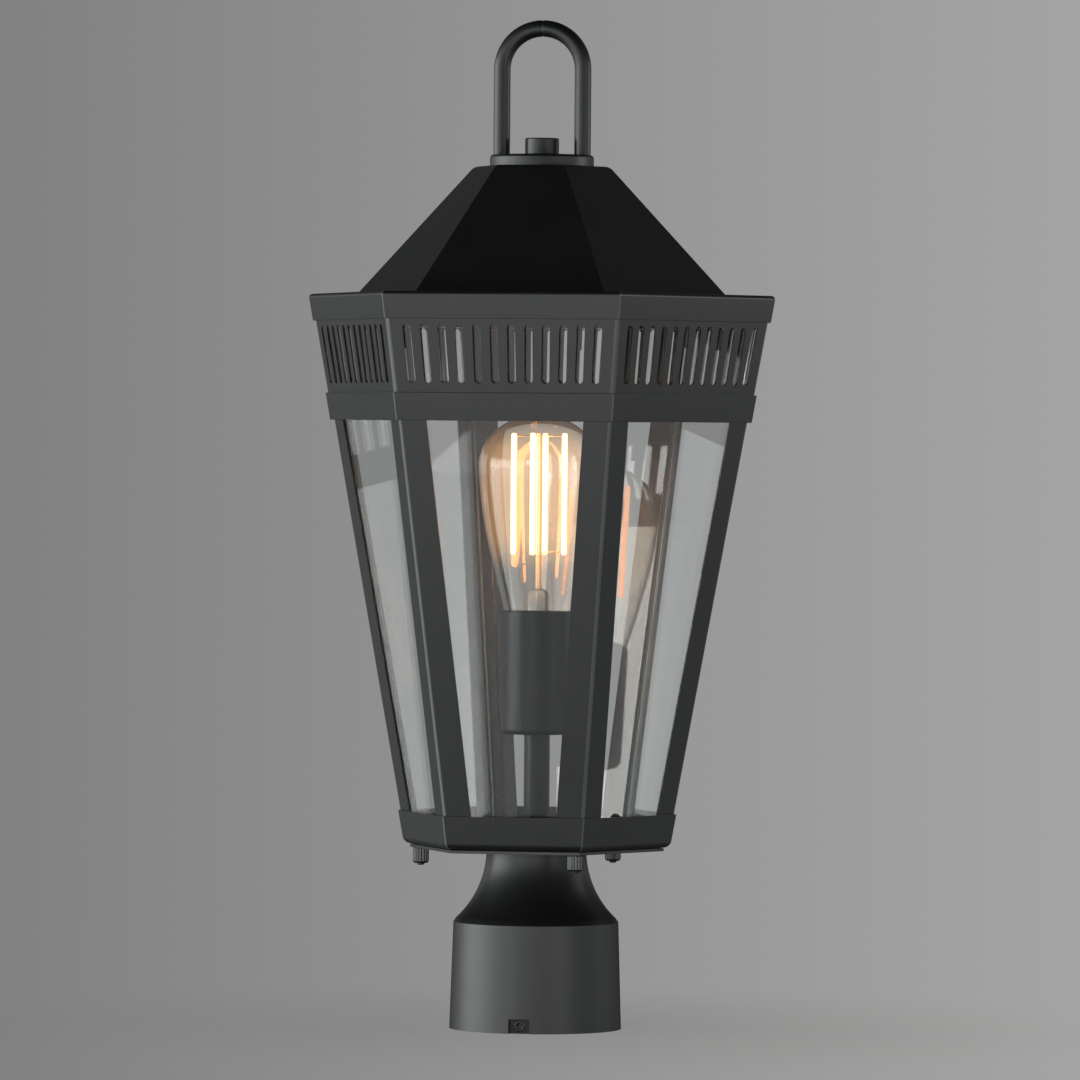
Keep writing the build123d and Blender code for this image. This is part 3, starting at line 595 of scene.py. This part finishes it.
rod_ring_r, rod_r, rod_count, rod_turn = 13.8 * mm, 1.5 * mm, 4, radians(-2.9)
rod_end = 0.7 * rod_r
rods = []
for number in range(rod_count):
    outline = [
        (centre_r, rod_high.z), (rod_end, rod_high.z), (rod_r, rod_high.z - rod_end),
        (rod_r, rod_low.z + rod_end), (rod_end, rod_low.z), (centre_r, rod_low.z),
    ]
    rod = turned(f"filament_{number + 1}", outline, 16)
    angle = rod_turn + 2 * pi * number / rod_count
    rod.data.transform(
        Matrix.Rotation(angle, 4, "Z") @ Matrix.Translation((rod_ring_r, 0, 0))
    )
    shaded(rod)
    rods.append(rod)
glow = glowing(
    "filament_glow", (1.0, 0.80, 0.44), (1.0, 0.36, 0.07),
    seen_strength=3.2, mirrored_strength=9, thrown_strength=55,
)
for rod in rods:
    finished(rod, glow, "bulb", "filament")
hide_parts("bulb_filaments")

nickel = metal("nickel", (0.62, 0.60, 0.57), 0.22, 0.05)
for node in ("bulb_wires", "bulb_cap", "bulb_tip"):
    repainted(node, nickel)
repainted("bulb_insulator", glazed("vitrite", (0.02, 0.02, 0.02)))


# ---- Tray ----
# Shallow six-sided pan of folded sheet that closes the foot of the cage. Its floor turns up
# through a generous bend, and a hole wider than the bulb lets the cage be lifted over it.
cos30 = cos(radians(30))
sheet = 0.9 * mm
lap = 0.1 * mm
tray_low, tray_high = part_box("tray")
rim_low, rim_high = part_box("roof_rim")
cage_foot_r = 70.8 * mm
cage_head_r = 123.5 * mm


def cage_r(z):
    """Radius of the cage's corner line, the outside of its posts, at a height."""
    climb = (z - tray_low.z) / (rim_high.z - tray_low.z)
    return cage_foot_r + (cage_head_r - cage_foot_r) * climb


def layer_r(z, offset):
    """Corner radius of a sheet whose faces lie at an offset outside the posts."""
    return cage_r(z) + offset / cos30


# A lighter charcoal, painted on the rounded corner seams as a painted highlight.
seam_highlight = powder_coat("painted_seam_highlight", (0.085, 0.086, 0.088), 0.30)
# A lighter charcoal, painted along the soft bends of the posts and gallery as a painted highlight.
bend_highlight = powder_coat("painted_bend_highlight", (0.075, 0.076, 0.078), 0.30)


def round_edges(piece, radius, steps, chosen, slot=-1):
    """Rounds the edges whose two ends pass a test, and may give the rounding a material slot."""
    bpy.ops.object.select_all(action="DESELECT")
    bpy.context.view_layer.objects.active = piece
    bpy.ops.object.mode_set(mode="EDIT")
    bpy.ops.mesh.select_mode(type="EDGE")
    bpy.ops.mesh.select_all(action="DESELECT")
    bpy.ops.object.mode_set(mode="OBJECT")
    ends = piece.data.vertices
    for edge in piece.data.edges:
        start, end = (ends[i].co for i in edge.vertices)
        edge.select = chosen(start, end)
    bpy.ops.object.mode_set(mode="EDIT")
    bpy.ops.mesh.bevel(
        offset=radius, segments=steps, affect="EDGES", clamp_overlap=False, material=slot
    )
    bpy.ops.object.mode_set(mode="OBJECT")


def at_corner(point):
    """True for a point in one of the upright planes through the cage's corners."""
    turn = Vector((point.x, point.y)).angle_signed(Vector((1, 0))) / radians(60)
    return abs(turn - round(turn)) < 0.001


def seam(start, end):
    """An edge that runs up a corner of a six-sided piece."""
    return at_corner(start) and at_corner(end) and abs(start.z - end.z) > 0.01 * mm


def highlight_rounding(piece, radius, steps, chosen, paint):
    """Rounds the chosen edges and paints the rounding lighter, as a painted highlight."""
    piece.data.materials.append(charcoal)
    piece.data.materials.append(paint)
    round_edges(piece, radius, steps, chosen, 1)


def highlight_seams(piece, radius):
    """Rounds a folded piece's corner seams, and paints them pale as a painted highlight."""
    highlight_rounding(piece, radius, 3, seam, seam_highlight)


def level_at(z, outside_r):
    """Test for a level edge at a height that runs round the piece, outside a radius."""
    def chosen(start, end):
        level = abs(start.z - z) < 0.01 * mm and abs(end.z - z) < 0.01 * mm
        round_it = abs(start.xy.length - end.xy.length) < 0.01 * mm
        return level and round_it and start.xy.length > outside_r
    return chosen


tray_hole_r, tray_blank_hole_r = 36.0 * mm, 30 * mm
tray_bend, tray_inner_bend = 3.5 * mm, 2.6 * mm
sheet_edge, seam_round = 0.2 * mm, 0.45 * mm
tray_floor = tray_low.z + sheet
tray = turned("tray_pan", [
    (tray_blank_hole_r, tray_low.z),
    (layer_r(tray_low.z, lap + sheet), tray_low.z),
    (layer_r(tray_high.z, lap + sheet), tray_high.z),
    (layer_r(tray_high.z, lap), tray_high.z),
    (layer_r(tray_floor, lap), tray_floor),
    (tray_blank_hole_r, tray_floor),
], 6)
round_edges(tray, tray_bend, 6, level_at(tray_low.z, 50 * mm))
round_edges(tray, tray_inner_bend, 6, level_at(tray_floor, 50 * mm))
# The tray's corner seams get a painted highlight.
highlight_seams(tray, seam_round)
cut_away(tray, drill(tray_hole_r, drill_length, (0, 0, tray_low.z)))
eased(tray, sheet_edge, 2, 50)
finished(tray, charcoal, "cage", "charcoal_paint", "tray")


# ---- Studs ----
# Three threaded studs hang from the tray, each with a tall round-topped head inside it. Their
# tips pass through the base plate and stand just proud of the thumb nuts.
stud_low, stud_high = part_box("cage_studs")
stud_r, head_r, stud_chamfer = 2.0 * mm, 2.65 * mm, 0.5 * mm
dome_steps, dome_turn = 6, radians(84)
for number, angle in enumerate(stud_angles, start=1):
    outline = [
        (centre_r, stud_low.z),
        (stud_r - stud_chamfer, stud_low.z),
        (stud_r, stud_low.z + stud_chamfer),
        (stud_r, tray_floor),
        (head_r, tray_floor),
    ]
    for step in range(dome_steps + 1):
        turn = dome_turn * step / dome_steps
        outline.append((head_r * cos(turn), stud_high.z - head_r * (1 - sin(turn))))
    stud = turned(f"cage_stud_{number}", outline, 32)
    shaded(stud)
    stud.data.transform(
        Matrix.Rotation(angle, 4, "Z") @ Matrix.Translation((stud_circle_r, 0, 0))
    )
    finished(stud, blackened_steel, "cage", "blackened_steel")
    if number == 1:
        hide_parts("cage_studs")


# ---- Corner posts ----
# Six strips of sheet, each bent to the 120 degrees of its corner, that stand in the tray and
# lean out with the flare of the cage. The bend is soft and catches the light, and a highlight is
# painted on it too.
def copy_round(piece, name, turn):
    """Another piece of the same shape, turned about the axis, with a mesh of its own."""
    copy = bpy.data.objects.new(name, piece.data.copy())
    bpy.context.collection.objects.link(copy)
    copy.data.transform(Matrix.Rotation(turn, 4, "Z"))
    return copy


def keep_beside(piece, through, away):
    """Cuts a piece with a plane, drops what lies on the far side and closes the cut."""
    bpy.ops.object.select_all(action="DESELECT")
    bpy.context.view_layer.objects.active = piece
    bpy.ops.object.mode_set(mode="EDIT")
    bpy.ops.mesh.select_all(action="SELECT")
    bpy.ops.mesh.bisect(plane_co=through, plane_no=away, clear_outer=True, use_fill=True)
    bpy.ops.object.mode_set(mode="OBJECT")


def post_bend_line(start, end):
    """Test for an edge that runs up the first post's bend, inside or outside."""
    return abs(start.y) < 0.01 * mm and abs(end.y) < 0.01 * mm and abs(start.z - end.z) > 1 * mm


post_low, post_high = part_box("corner_post_1")
flange, post_bend, post_edge = 14.3 * mm, 1.2 * mm, 0.15 * mm
post = turned("corner_post_bent_1", [
    (layer_r(post_low.z, 0), post_low.z),
    (layer_r(post_high.z, 0), post_high.z),
    (layer_r(post_high.z, -sheet), post_high.z),
    (layer_r(post_low.z, -sheet), post_low.z),
], 6)
corner_foot = Vector((cage_r(post_low.z), 0, post_low.z))
corner_head = Vector((cage_r(post_high.z), 0, post_high.z))
corner_line = (corner_head - corner_foot).normalized()
for side in (-1, 1):
    along = Vector((-0.5, side * cos30, 0))
    face_out = along.cross(corner_line) * side
    away = corner_line.cross(face_out) * side
    if away.dot(along) < 0:
        away = -away
    keep_beside(post, corner_foot + along * flange, away)
# The post's bend gets a painted highlight.
highlight_rounding(post, post_bend, 5, post_bend_line, bend_highlight)
eased(post, post_edge, 2, 50)
for number in range(1, 7):
    turn = radians(60 * (number - 1))
    corner = copy_round(post, f"corner_post_bent_{number}", turn) if number > 1 else post
    finished(corner, charcoal, "cage", "charcoal_paint", f"corner_post_{number}")


# ---- Glass panes ----
# Six panes of clear 3 mm glass stand in the tray behind the posts, each set nearer to one
# corner than to the other so that it laps its neighbour. Their edges are ground, and show green.
pane_glass = clear_glass("pane_glass", (0.985, 0.995, 0.990))
ground_edge = clear_glass("ground_glass_edge", (0.72, 0.86, 0.82), 0.28)


def copied_solid(node, name):
    """A piece with the shape of a CAD node, its loose triangles merged into flat faces."""
    piece = bpy.data.objects.new(name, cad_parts[node].data.copy())
    bpy.context.collection.objects.link(piece)
    bpy.ops.object.select_all(action="DESELECT")
    bpy.context.view_layer.objects.active = piece
    piece.select_set(True)
    bpy.ops.object.mode_set(mode="EDIT")
    bpy.ops.mesh.select_all(action="SELECT")
    bpy.ops.mesh.remove_doubles(threshold=0.001 * mm)
    bpy.ops.mesh.dissolve_limited(angle_limit=radians(1))
    bpy.ops.object.mode_set(mode="OBJECT")
    piece.data.materials.clear()
    return piece


pane_edge = 0.35 * mm
for number in range(1, 7):
    pane = copied_solid(f"glass_pane_{number}", f"pane_{number}")
    eased(pane, pane_edge, 1, 40)
    finished(pane, pane_glass, "cage", "clear_glass", f"glass_pane_{number}")
    pane.data.materials.append(ground_edge)
    turn = radians(60 * number - 30)
    outwards = Vector((cos(turn), sin(turn), 0))
    for face in pane.data.polygons:
        if abs(face.normal.dot(outwards)) < 0.9:
            face.material_index = 1


# ---- Glass clips ----
# Six folded strips of thin sheet that hang behind the gallery and hook over the panes.
repainted("glass_clips", charcoal)


# ---- Lower band ----
# Plain sheet band, bent round the heads of the posts and over the foot of the gallery.
def sheet_band(name, low_z, high_z, inner_offset):
    """Six-sided strip of sheet that follows the flare of the cage between two heights."""
    return turned(name, [
        (layer_r(low_z, inner_offset + sheet), low_z),
        (layer_r(high_z, inner_offset + sheet), high_z),
        (layer_r(high_z, inner_offset), high_z),
        (layer_r(low_z, inner_offset), low_z),
    ], 6)


band_low, band_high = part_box("lower_band")
band = sheet_band("lower_band_sheet", band_low.z, band_high.z, 2 * lap + sheet)
# The band's corner seams get a painted highlight.
highlight_seams(band, seam_round)
eased(band, sheet_edge, 2, 50)
finished(band, charcoal, "cage", "charcoal_paint", "lower_band")


# ---- Vent gallery ----
# One strip of sheet, punched with twelve upright slots a side and bent at the six corners. The
# slots have round ends and fan out with the flare of the cage, and warm air leaves by them.
panel_low, panel_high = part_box("vent_panel_1")
slot_count, slot_pitch = 12, 9.0 * mm
slot_width, slot_length = 4.3 * mm, 31.0 * mm
slot_level = rim_low.z - 18.0 * mm
gallery_bend, punch_depth = 1.6 * mm, 8 * mm
gallery = sheet_band("vent_gallery", panel_low.z, panel_high.z, lap)
# The gallery's corner bends get a painted highlight.
highlight_rounding(gallery, gallery_bend, 5, seam, bend_highlight)

growth = (cage_head_r - cage_foot_r) / (rim_high.z - tray_low.z)
lean = atan(growth * cos30)
flare = growth * cos(lean) / cage_r(slot_level)
bpy.ops.object.select_all(action="DESELECT")
bpy.ops.mesh.primitive_cylinder_add(
    vertices=24, radius=slot_width / 2, depth=punch_depth, rotation=(0, radians(90), 0)
)
punch = bpy.context.object
bpy.ops.object.transform_apply()
bpy.ops.object.mode_set(mode="EDIT")
bpy.ops.mesh.select_mode(type="VERT")
for half in (-1, 1):
    bpy.ops.mesh.select_all(action="DESELECT")
    bpy.ops.object.mode_set(mode="OBJECT")
    for vertex in punch.data.vertices:
        vertex.select = vertex.co.z * half > -0.01 * mm
    bpy.ops.object.mode_set(mode="EDIT")
    bpy.ops.transform.translate(value=(0, 0, half * (slot_length - slot_width) / 2))
bpy.ops.object.mode_set(mode="OBJECT")
punches = [punch]
for side in range(6):
    for slot in range(slot_count):
        across = (slot - (slot_count - 1) / 2) * slot_pitch
        copy = bpy.data.objects.new("punch", punch.data.copy())
        bpy.context.collection.objects.link(copy)
        copy.data.transform(
            Matrix.Rotation(radians(60 * side + 30), 4, "Z")
            @ Matrix.Translation((cage_r(slot_level) * cos30, 0, slot_level))
            @ Matrix.Rotation(lean, 4, "Y")
            @ Matrix.Translation((0, across, 0))
            @ Matrix.Rotation(-atan(across * flare), 4, "X")
        )
        punches.append(copy)

# The first punch only gathers the others, so it is moved well clear of the gallery.
punch.data.transform(Matrix.Translation((0, 0, 1)))
bpy.ops.object.select_all(action="DESELECT")
for copy in punches:
    copy.select_set(True)
bpy.context.view_layer.objects.active = punch
bpy.ops.object.join()
cut_away(gallery, punch)
eased(gallery, 0.1 * mm, 1, 60)
finished(gallery, charcoal, "cage", "charcoal_paint", *[f"vent_panel_{n}" for n in range(1, 7)])


# ---- Roof rim ----
# Flat ledge under the roof, folded down all round into a plain fascia through a soft bend,
# with its six corners mitred and welded.
rim_standoff = 1.3 * mm
rim_bend, rim_inner_bend, mitre_round = 2.3 * mm, 1.4 * mm, 0.4 * mm
ledge_under = rim_high.z - sheet
ledge_hole_r = 92.5 * mm
rim = turned("roof_rim_folded", [
    (ledge_hole_r, ledge_under),
    (layer_r(ledge_under, rim_standoff), ledge_under),
    (layer_r(rim_low.z, rim_standoff), rim_low.z),
    (layer_r(rim_low.z, rim_standoff + sheet), rim_low.z),
    (layer_r(rim_high.z, rim_standoff + sheet), rim_high.z),
    (ledge_hole_r, rim_high.z),
], 6)
round_edges(rim, rim_bend, 6, level_at(rim_high.z, 110 * mm))
round_edges(rim, rim_inner_bend, 4, level_at(ledge_under, 110 * mm))
# The mitred corners get a painted highlight.
highlight_seams(rim, mitre_round)
eased(rim, sheet_edge, 2, 50)
finished(rim, charcoal, "cage", "charcoal_paint", "roof_rim")


# ---- Roof ----
# Six-sided pyramid folded from one sheet, with a small flat top that the loop plate is bolted
# to. Its folds are crisp and its foot is welded to the ledge.
def roof_fold(start, end):
    """Test for a corner fold of the roof, away from the bolt's hole."""
    return seam(start, end) and start.xy.length > 8 * mm


roof_low, roof_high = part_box("roof_shell")
roof_foot_r, roof_top_r, roof_sheet = roof_high.x, 36.5 * mm, 1.0 * mm
roof_top_round, fold_round, roof_edge = 2.2 * mm, 0.35 * mm, 0.15 * mm
bolt_hole_r = 3.2 * mm
roof_slope = (roof_foot_r - roof_top_r) / (roof_high.z - roof_low.z)
roof_inset = roof_sheet * sqrt(1 + (roof_slope * cos30) ** 2) / cos30
roof = turned("roof_pyramid", [
    (bolt_hole_r, roof_high.z),
    (roof_top_r, roof_high.z),
    (roof_foot_r, roof_low.z),
    (roof_foot_r - roof_inset, roof_low.z),
    (roof_top_r - roof_inset + roof_slope * roof_sheet, roof_high.z - roof_sheet),
    (bolt_hole_r, roof_high.z - roof_sheet),
], 6)
round_edges(roof, roof_top_round, 5, level_at(roof_high.z, 20 * mm))
round_edges(roof, fold_round, 2, roof_fold)
eased(roof, roof_edge, 1, 70)
finished(roof, charcoal, "cage", "charcoal_paint", "roof_shell")


# ---- Loop plate and carrying loop ----
# A turned disc with a rounded upper edge is clamped on the roof. The loop is a round bar bent
# over a former, its ends plugged into the disc, with the trace of a joint at its crown.
disc_low, disc_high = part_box("loop_plate")
loop_low, loop_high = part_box("hanging_loop")
disc_r, disc_round, disc_edge = disc_high.x, 1.6 * mm, 0.15 * mm
bar_r, bar_fit, leg_x = 4.4 * mm, 0.05 * mm, 21.75 * mm
disc = turned("loop_plate_disc", [
    (bolt_hole_r, disc_low.z),
    (disc_r, disc_low.z),
    (disc_r, disc_high.z),
    (bolt_hole_r, disc_high.z),
], 96)
round_edges(disc, disc_round, 4, level_at(disc_high.z, disc_r * 0.9))
for side in (-1, 1):
    leg_place = (side * leg_x, 0, disc_high.z)
    cut_away(disc, drill(bar_r + bar_fit, drill_length, leg_place))
eased(disc, disc_edge, 2, 40)
finished(disc, charcoal, "cage", "charcoal_paint", "loop_plate")

bend_z = loop_high.z - bar_r - leg_x
joint_turn, joint_waist, joint_sink = radians(2), 0.93, 0.15 * mm
bpy.ops.object.select_all(action="DESELECT")
bpy.ops.mesh.primitive_circle_add(
    vertices=32, radius=bar_r, fill_type="NGON", location=(leg_x, 0, loop_low.z)
)
loop = bpy.context.object
loop.name = "carrying_loop"
bpy.ops.object.transform_apply()
bpy.ops.object.mode_set(mode="EDIT")
bpy.ops.mesh.extrude_region_move(TRANSFORM_OT_translate={"value": (0, 0, bend_z - loop_low.z)})
for steps, turn in ((20, radians(90) - joint_turn), (1, joint_turn)):
    bpy.ops.mesh.spin(steps=steps, angle=turn, center=(0, 0, bend_z), axis=(0, 1, 0))
bpy.ops.transform.resize(
    value=(joint_waist,) * 3, center_override=(0, 0, bend_z + leg_x - joint_sink)
)
bpy.ops.mesh.delete(type="ONLY_FACE")
bpy.ops.object.mode_set(mode="OBJECT")
for vertex in loop.data.vertices:
    if abs(vertex.co.x) < 0.05 * mm:
        vertex.co.x = 0
modified(loop, "MIRROR", use_axis=(True, False, False), merge_threshold=0.01 * mm)
bpy.ops.object.select_all(action="DESELECT")
bpy.context.view_layer.objects.active = loop
bpy.ops.object.mode_set(mode="EDIT")
bpy.ops.mesh.select_all(action="SELECT")
bpy.ops.mesh.normals_make_consistent(inside=False)
bpy.ops.object.mode_set(mode="OBJECT")
shaded(loop)
finished(loop, charcoal, "cage", "charcoal_paint", "hanging_loop")


# ---- Finial nut ----
# Plain round cap nut on the finial stud, turned from bar, with a flat top and an eased edge.
nut_low, nut_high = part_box("finial_nut")
nut_bore_r, nut_crown, nut_edge = 3.06 * mm, 2 * mm, 0.7 * mm
finial = turned("finial_cap_nut", [
    (nut_bore_r, nut_low.z),
    (nut_high.x, nut_low.z),
    (nut_high.x, nut_high.z),
    (centre_r, nut_high.z),
    (centre_r, nut_high.z - nut_crown),
    (nut_bore_r, nut_high.z - nut_crown - 0.3 * mm),
], 64)
eased(finial, nut_edge, 4, 60)
finished(finial, charcoal, "finial_nut", "charcoal_paint", "finial_nut")


# ---- Studio ----
# A round table top that fades out into a grey backdrop, a room whose low walls are brightest on
# the left and dark behind, five softboxes, and a long lens 4.2 m away. The backdrop shows straight
# on and through the glass, and paint mirrors the room instead.
camera_turn = radians(10.9)
camera_right = (cos(camera_turn), sin(camera_turn), 0)
camera_side = (sin(camera_turn), -cos(camera_turn), 0)
backdrop_left, backdrop_right = (0.219, 0.219, 0.220), (0.370, 0.370, 0.367)
backdrop_reach = 0.067
table_r, shadow_start, shadow_end, shadow_depth = 0.45, 0.06, 0.36, 0.2
room_strength, lamp_aim_z = 5.2, 0.27


def table_top():
    """Matt grey that takes the lantern's shadow and thins out to nothing further away."""
    material, nodes, links, paint = new_material("studio_table")
    paint.inputs["Base Color"].default_value = (0.85, 0.85, 0.84, 1)
    paint.inputs["Roughness"].default_value = 0.9
    paint.inputs["Specular IOR Level"].default_value = 0.1
    place = nodes.new("ShaderNodeTexCoord")
    distance = nodes.new("ShaderNodeVectorMath")
    distance.operation = "LENGTH"
    links.new(place.outputs["Object"], distance.inputs[0])
    fade = nodes.new("ShaderNodeMapRange")
    fade.interpolation_type = "SMOOTHSTEP"
    fade.inputs["From Min"].default_value = shadow_start
    fade.inputs["From Max"].default_value = shadow_end
    fade.inputs["To Min"].default_value = shadow_depth
    fade.inputs["To Max"].default_value = 0
    links.new(distance.outputs["Value"], fade.inputs["Value"])
    links.new(fade.outputs["Result"], paint.inputs["Alpha"])
    return material


bpy.ops.object.select_all(action="DESELECT")
bpy.ops.mesh.primitive_circle_add(vertices=64, radius=table_r, fill_type="NGON")
table = bpy.context.object
table.name = "studio_table"
table.data.materials.append(table_top())

world = bpy.data.worlds.new("studio")
bpy.context.scene.world = world
world.use_nodes = True
nodes, links = world.node_tree.nodes, world.node_tree.links
direction = nodes.new("ShaderNodeTexCoord")

across = nodes.new("ShaderNodeVectorMath")
across.operation = "DOT_PRODUCT"
across.inputs[1].default_value = camera_right
links.new(direction.outputs["Generated"], across.inputs[0])
side = nodes.new("ShaderNodeMapRange")
side.inputs["From Min"].default_value = -backdrop_reach
side.inputs["From Max"].default_value = backdrop_reach
links.new(across.outputs["Value"], side.inputs["Value"])
paper = nodes.new("ShaderNodeValToRGB")
paper.color_ramp.elements[0].color = (*backdrop_left, 1)
paper.color_ramp.elements[1].color = (*backdrop_right, 1)
links.new(side.outputs["Result"], paper.inputs["Fac"])
backdrop = nodes["Background"]
links.new(paper.outputs["Color"], backdrop.inputs["Color"])


def along_axis(axis, stops):
    """Brightness of the room along an axis, as stops of (cosine to the axis, brightness)."""
    cosine = nodes.new("ShaderNodeVectorMath")
    cosine.operation = "DOT_PRODUCT"
    cosine.inputs[1].default_value = axis
    links.new(direction.outputs["Generated"], cosine.inputs[0])
    place = nodes.new("ShaderNodeMapRange")
    place.inputs["From Min"].default_value = -1
    links.new(cosine.outputs["Value"], place.inputs["Value"])
    ramp = nodes.new("ShaderNodeValToRGB")
    while len(ramp.color_ramp.elements) < len(stops):
        ramp.color_ramp.elements.new(0.5)
    for element, (cosine_at, brightness) in zip(ramp.color_ramp.elements, stops):
        element.position = (cosine_at + 1) / 2
        element.color = (brightness, brightness, brightness, 1)
    links.new(place.outputs["Result"], ramp.inputs["Fac"])
    return ramp.outputs["Color"]


left_to_right = along_axis(camera_right, [
    (-1, 1), (-0.77, 0.52), (-0.4, 0.22), (0.2, 0.09), (0.77, 0.225), (1, 0.15)
])
behind_to_front = along_axis(camera_side, [(-1, 0.12), (-0.8, 0.27), (-0.64, 0.3), (-0.2, 1)])
floor_to_ceiling = along_axis((0, 0, 1), [
    (-0.8, 0.04), (-0.4, 0.36), (-0.03, 0.46), (0.02, 1), (0.13, 1), (0.29, 0.1), (0.8, 0.02)
])
daylight = nodes.new("ShaderNodeRGB")
daylight.outputs["Color"].default_value = (0.965, 1, 1.01, 1)
room = nodes.new("ShaderNodeBackground")
room.inputs["Strength"].default_value = room_strength
brightness = left_to_right
for factor in (behind_to_front, floor_to_ceiling, daylight.outputs["Color"]):
    product = nodes.new("ShaderNodeMix")
    product.data_type = "RGBA"
    product.blend_type = "MULTIPLY"
    product.inputs["Factor"].default_value = 1
    links.new(brightness, product.inputs["A"])
    links.new(factor, product.inputs["B"])
    brightness = product.outputs["Result"]
links.new(brightness, room.inputs["Color"])

# The backdrop is seen by rays that come last through glass and were mirrored once at most.
mirrorings_below = 1.5
ray = nodes.new("ShaderNodeLightPath")
reflections = nodes.new("ShaderNodeMath")
reflections.operation = "SUBTRACT"
links.new(ray.outputs["Ray Depth"], reflections.inputs[0])
links.new(ray.outputs["Transmission Depth"], reflections.inputs[1])
straight = nodes.new("ShaderNodeMath")
straight.operation = "LESS_THAN"
straight.inputs[1].default_value = mirrorings_below
links.new(reflections.outputs["Value"], straight.inputs[0])
through = nodes.new("ShaderNodeMath")
through.operation = "MULTIPLY"
links.new(straight.outputs["Value"], through.inputs[0])
links.new(ray.outputs["Is Transmission Ray"], through.inputs[1])
seen = nodes.new("ShaderNodeMath")
seen.operation = "MAXIMUM"
links.new(through.outputs["Value"], seen.inputs[0])
links.new(ray.outputs["Is Camera Ray"], seen.inputs[1])
blend = nodes.new("ShaderNodeMixShader")
links.new(seen.outputs["Value"], blend.inputs["Fac"])
links.new(room.outputs["Background"], blend.inputs[1])
links.new(backdrop.outputs["Background"], blend.inputs[2])
links.new(blend.outputs["Shader"], nodes["World Output"].inputs["Surface"])


def softbox(name, left_turn, distance, width, low_z, high_z, radiance):
    """Soft light, a turn to the left of the camera, that isn't seen by way of the glass."""
    light = bpy.data.lights.new(name, "AREA")
    light.shape = "RECTANGLE"
    light.size, light.size_y = width, high_z - low_z
    light.energy = radiance * pi * width * (high_z - low_z)
    lamp = bpy.data.objects.new(name, light)
    bpy.context.collection.objects.link(lamp)
    lamp.visible_camera = False
    lamp.visible_transmission = False
    turn = camera_turn - left_turn
    middle = Vector((distance * sin(turn), -distance * cos(turn), (low_z + high_z) / 2))
    aim = Vector((0, 0, lamp_aim_z)) - middle
    lamp.location = middle
    lamp.rotation_euler = aim.to_track_quat("-Z", "Y").to_euler()
    return lamp


softbox("front_softbox", radians(0), 1.2, 2.4, 0.07, 0.27, 1.5)
softbox("low_softbox", radians(0), 1.2, 2.4, -0.09, 0.05, 0.8)
softbox("rear_softbox", radians(-155), 1.2, 3.2, 0.6, 1.7, 0.055)

# The last two are seen by way of the glass, and the cream one stays out of the paint's gloss.
right_lamp = softbox("right_softbox", radians(-98), 1.2, 0.5, 0.25, 0.66, 1.4)
right_lamp.visible_transmission = True
cream_lamp = softbox("cream_softbox", radians(17.4), 1.11, 0.25, 0.36, 0.8, 4.4)
cream_lamp.data.color = (1.0, 0.98, 0.93)
cream_lamp.visible_transmission = True
cream_lamp.visible_glossy = False

camera_distance, camera_height = 4.234, 0.3176
camera_pan, camera_tilt, camera_roll = radians(-0.0077), radians(-0.80), radians(0.456)
focal_pixels, frame_pixels, sensor_width = 8001, 1080, 36
camera_data = bpy.data.cameras.new("photo_camera")
camera = bpy.data.objects.new("photo_camera", camera_data)
bpy.context.collection.objects.link(camera)
camera_data.sensor_width = sensor_width
camera_data.lens = sensor_width * focal_pixels / frame_pixels
camera_data.clip_end = 100
camera.matrix_world = (
    Matrix.Rotation(camera_turn, 4, "Z")
    @ Matrix.Translation((0, -camera_distance, camera_height))
    @ Matrix.Rotation(camera_pan, 4, "Z")
    @ Matrix.Rotation(radians(90) + camera_tilt, 4, "X")
    @ Matrix.Rotation(camera_roll, 4, "Z")
)
bpy.context.scene.camera = camera
bpy.context.scene.view_settings.view_transform = "Standard"
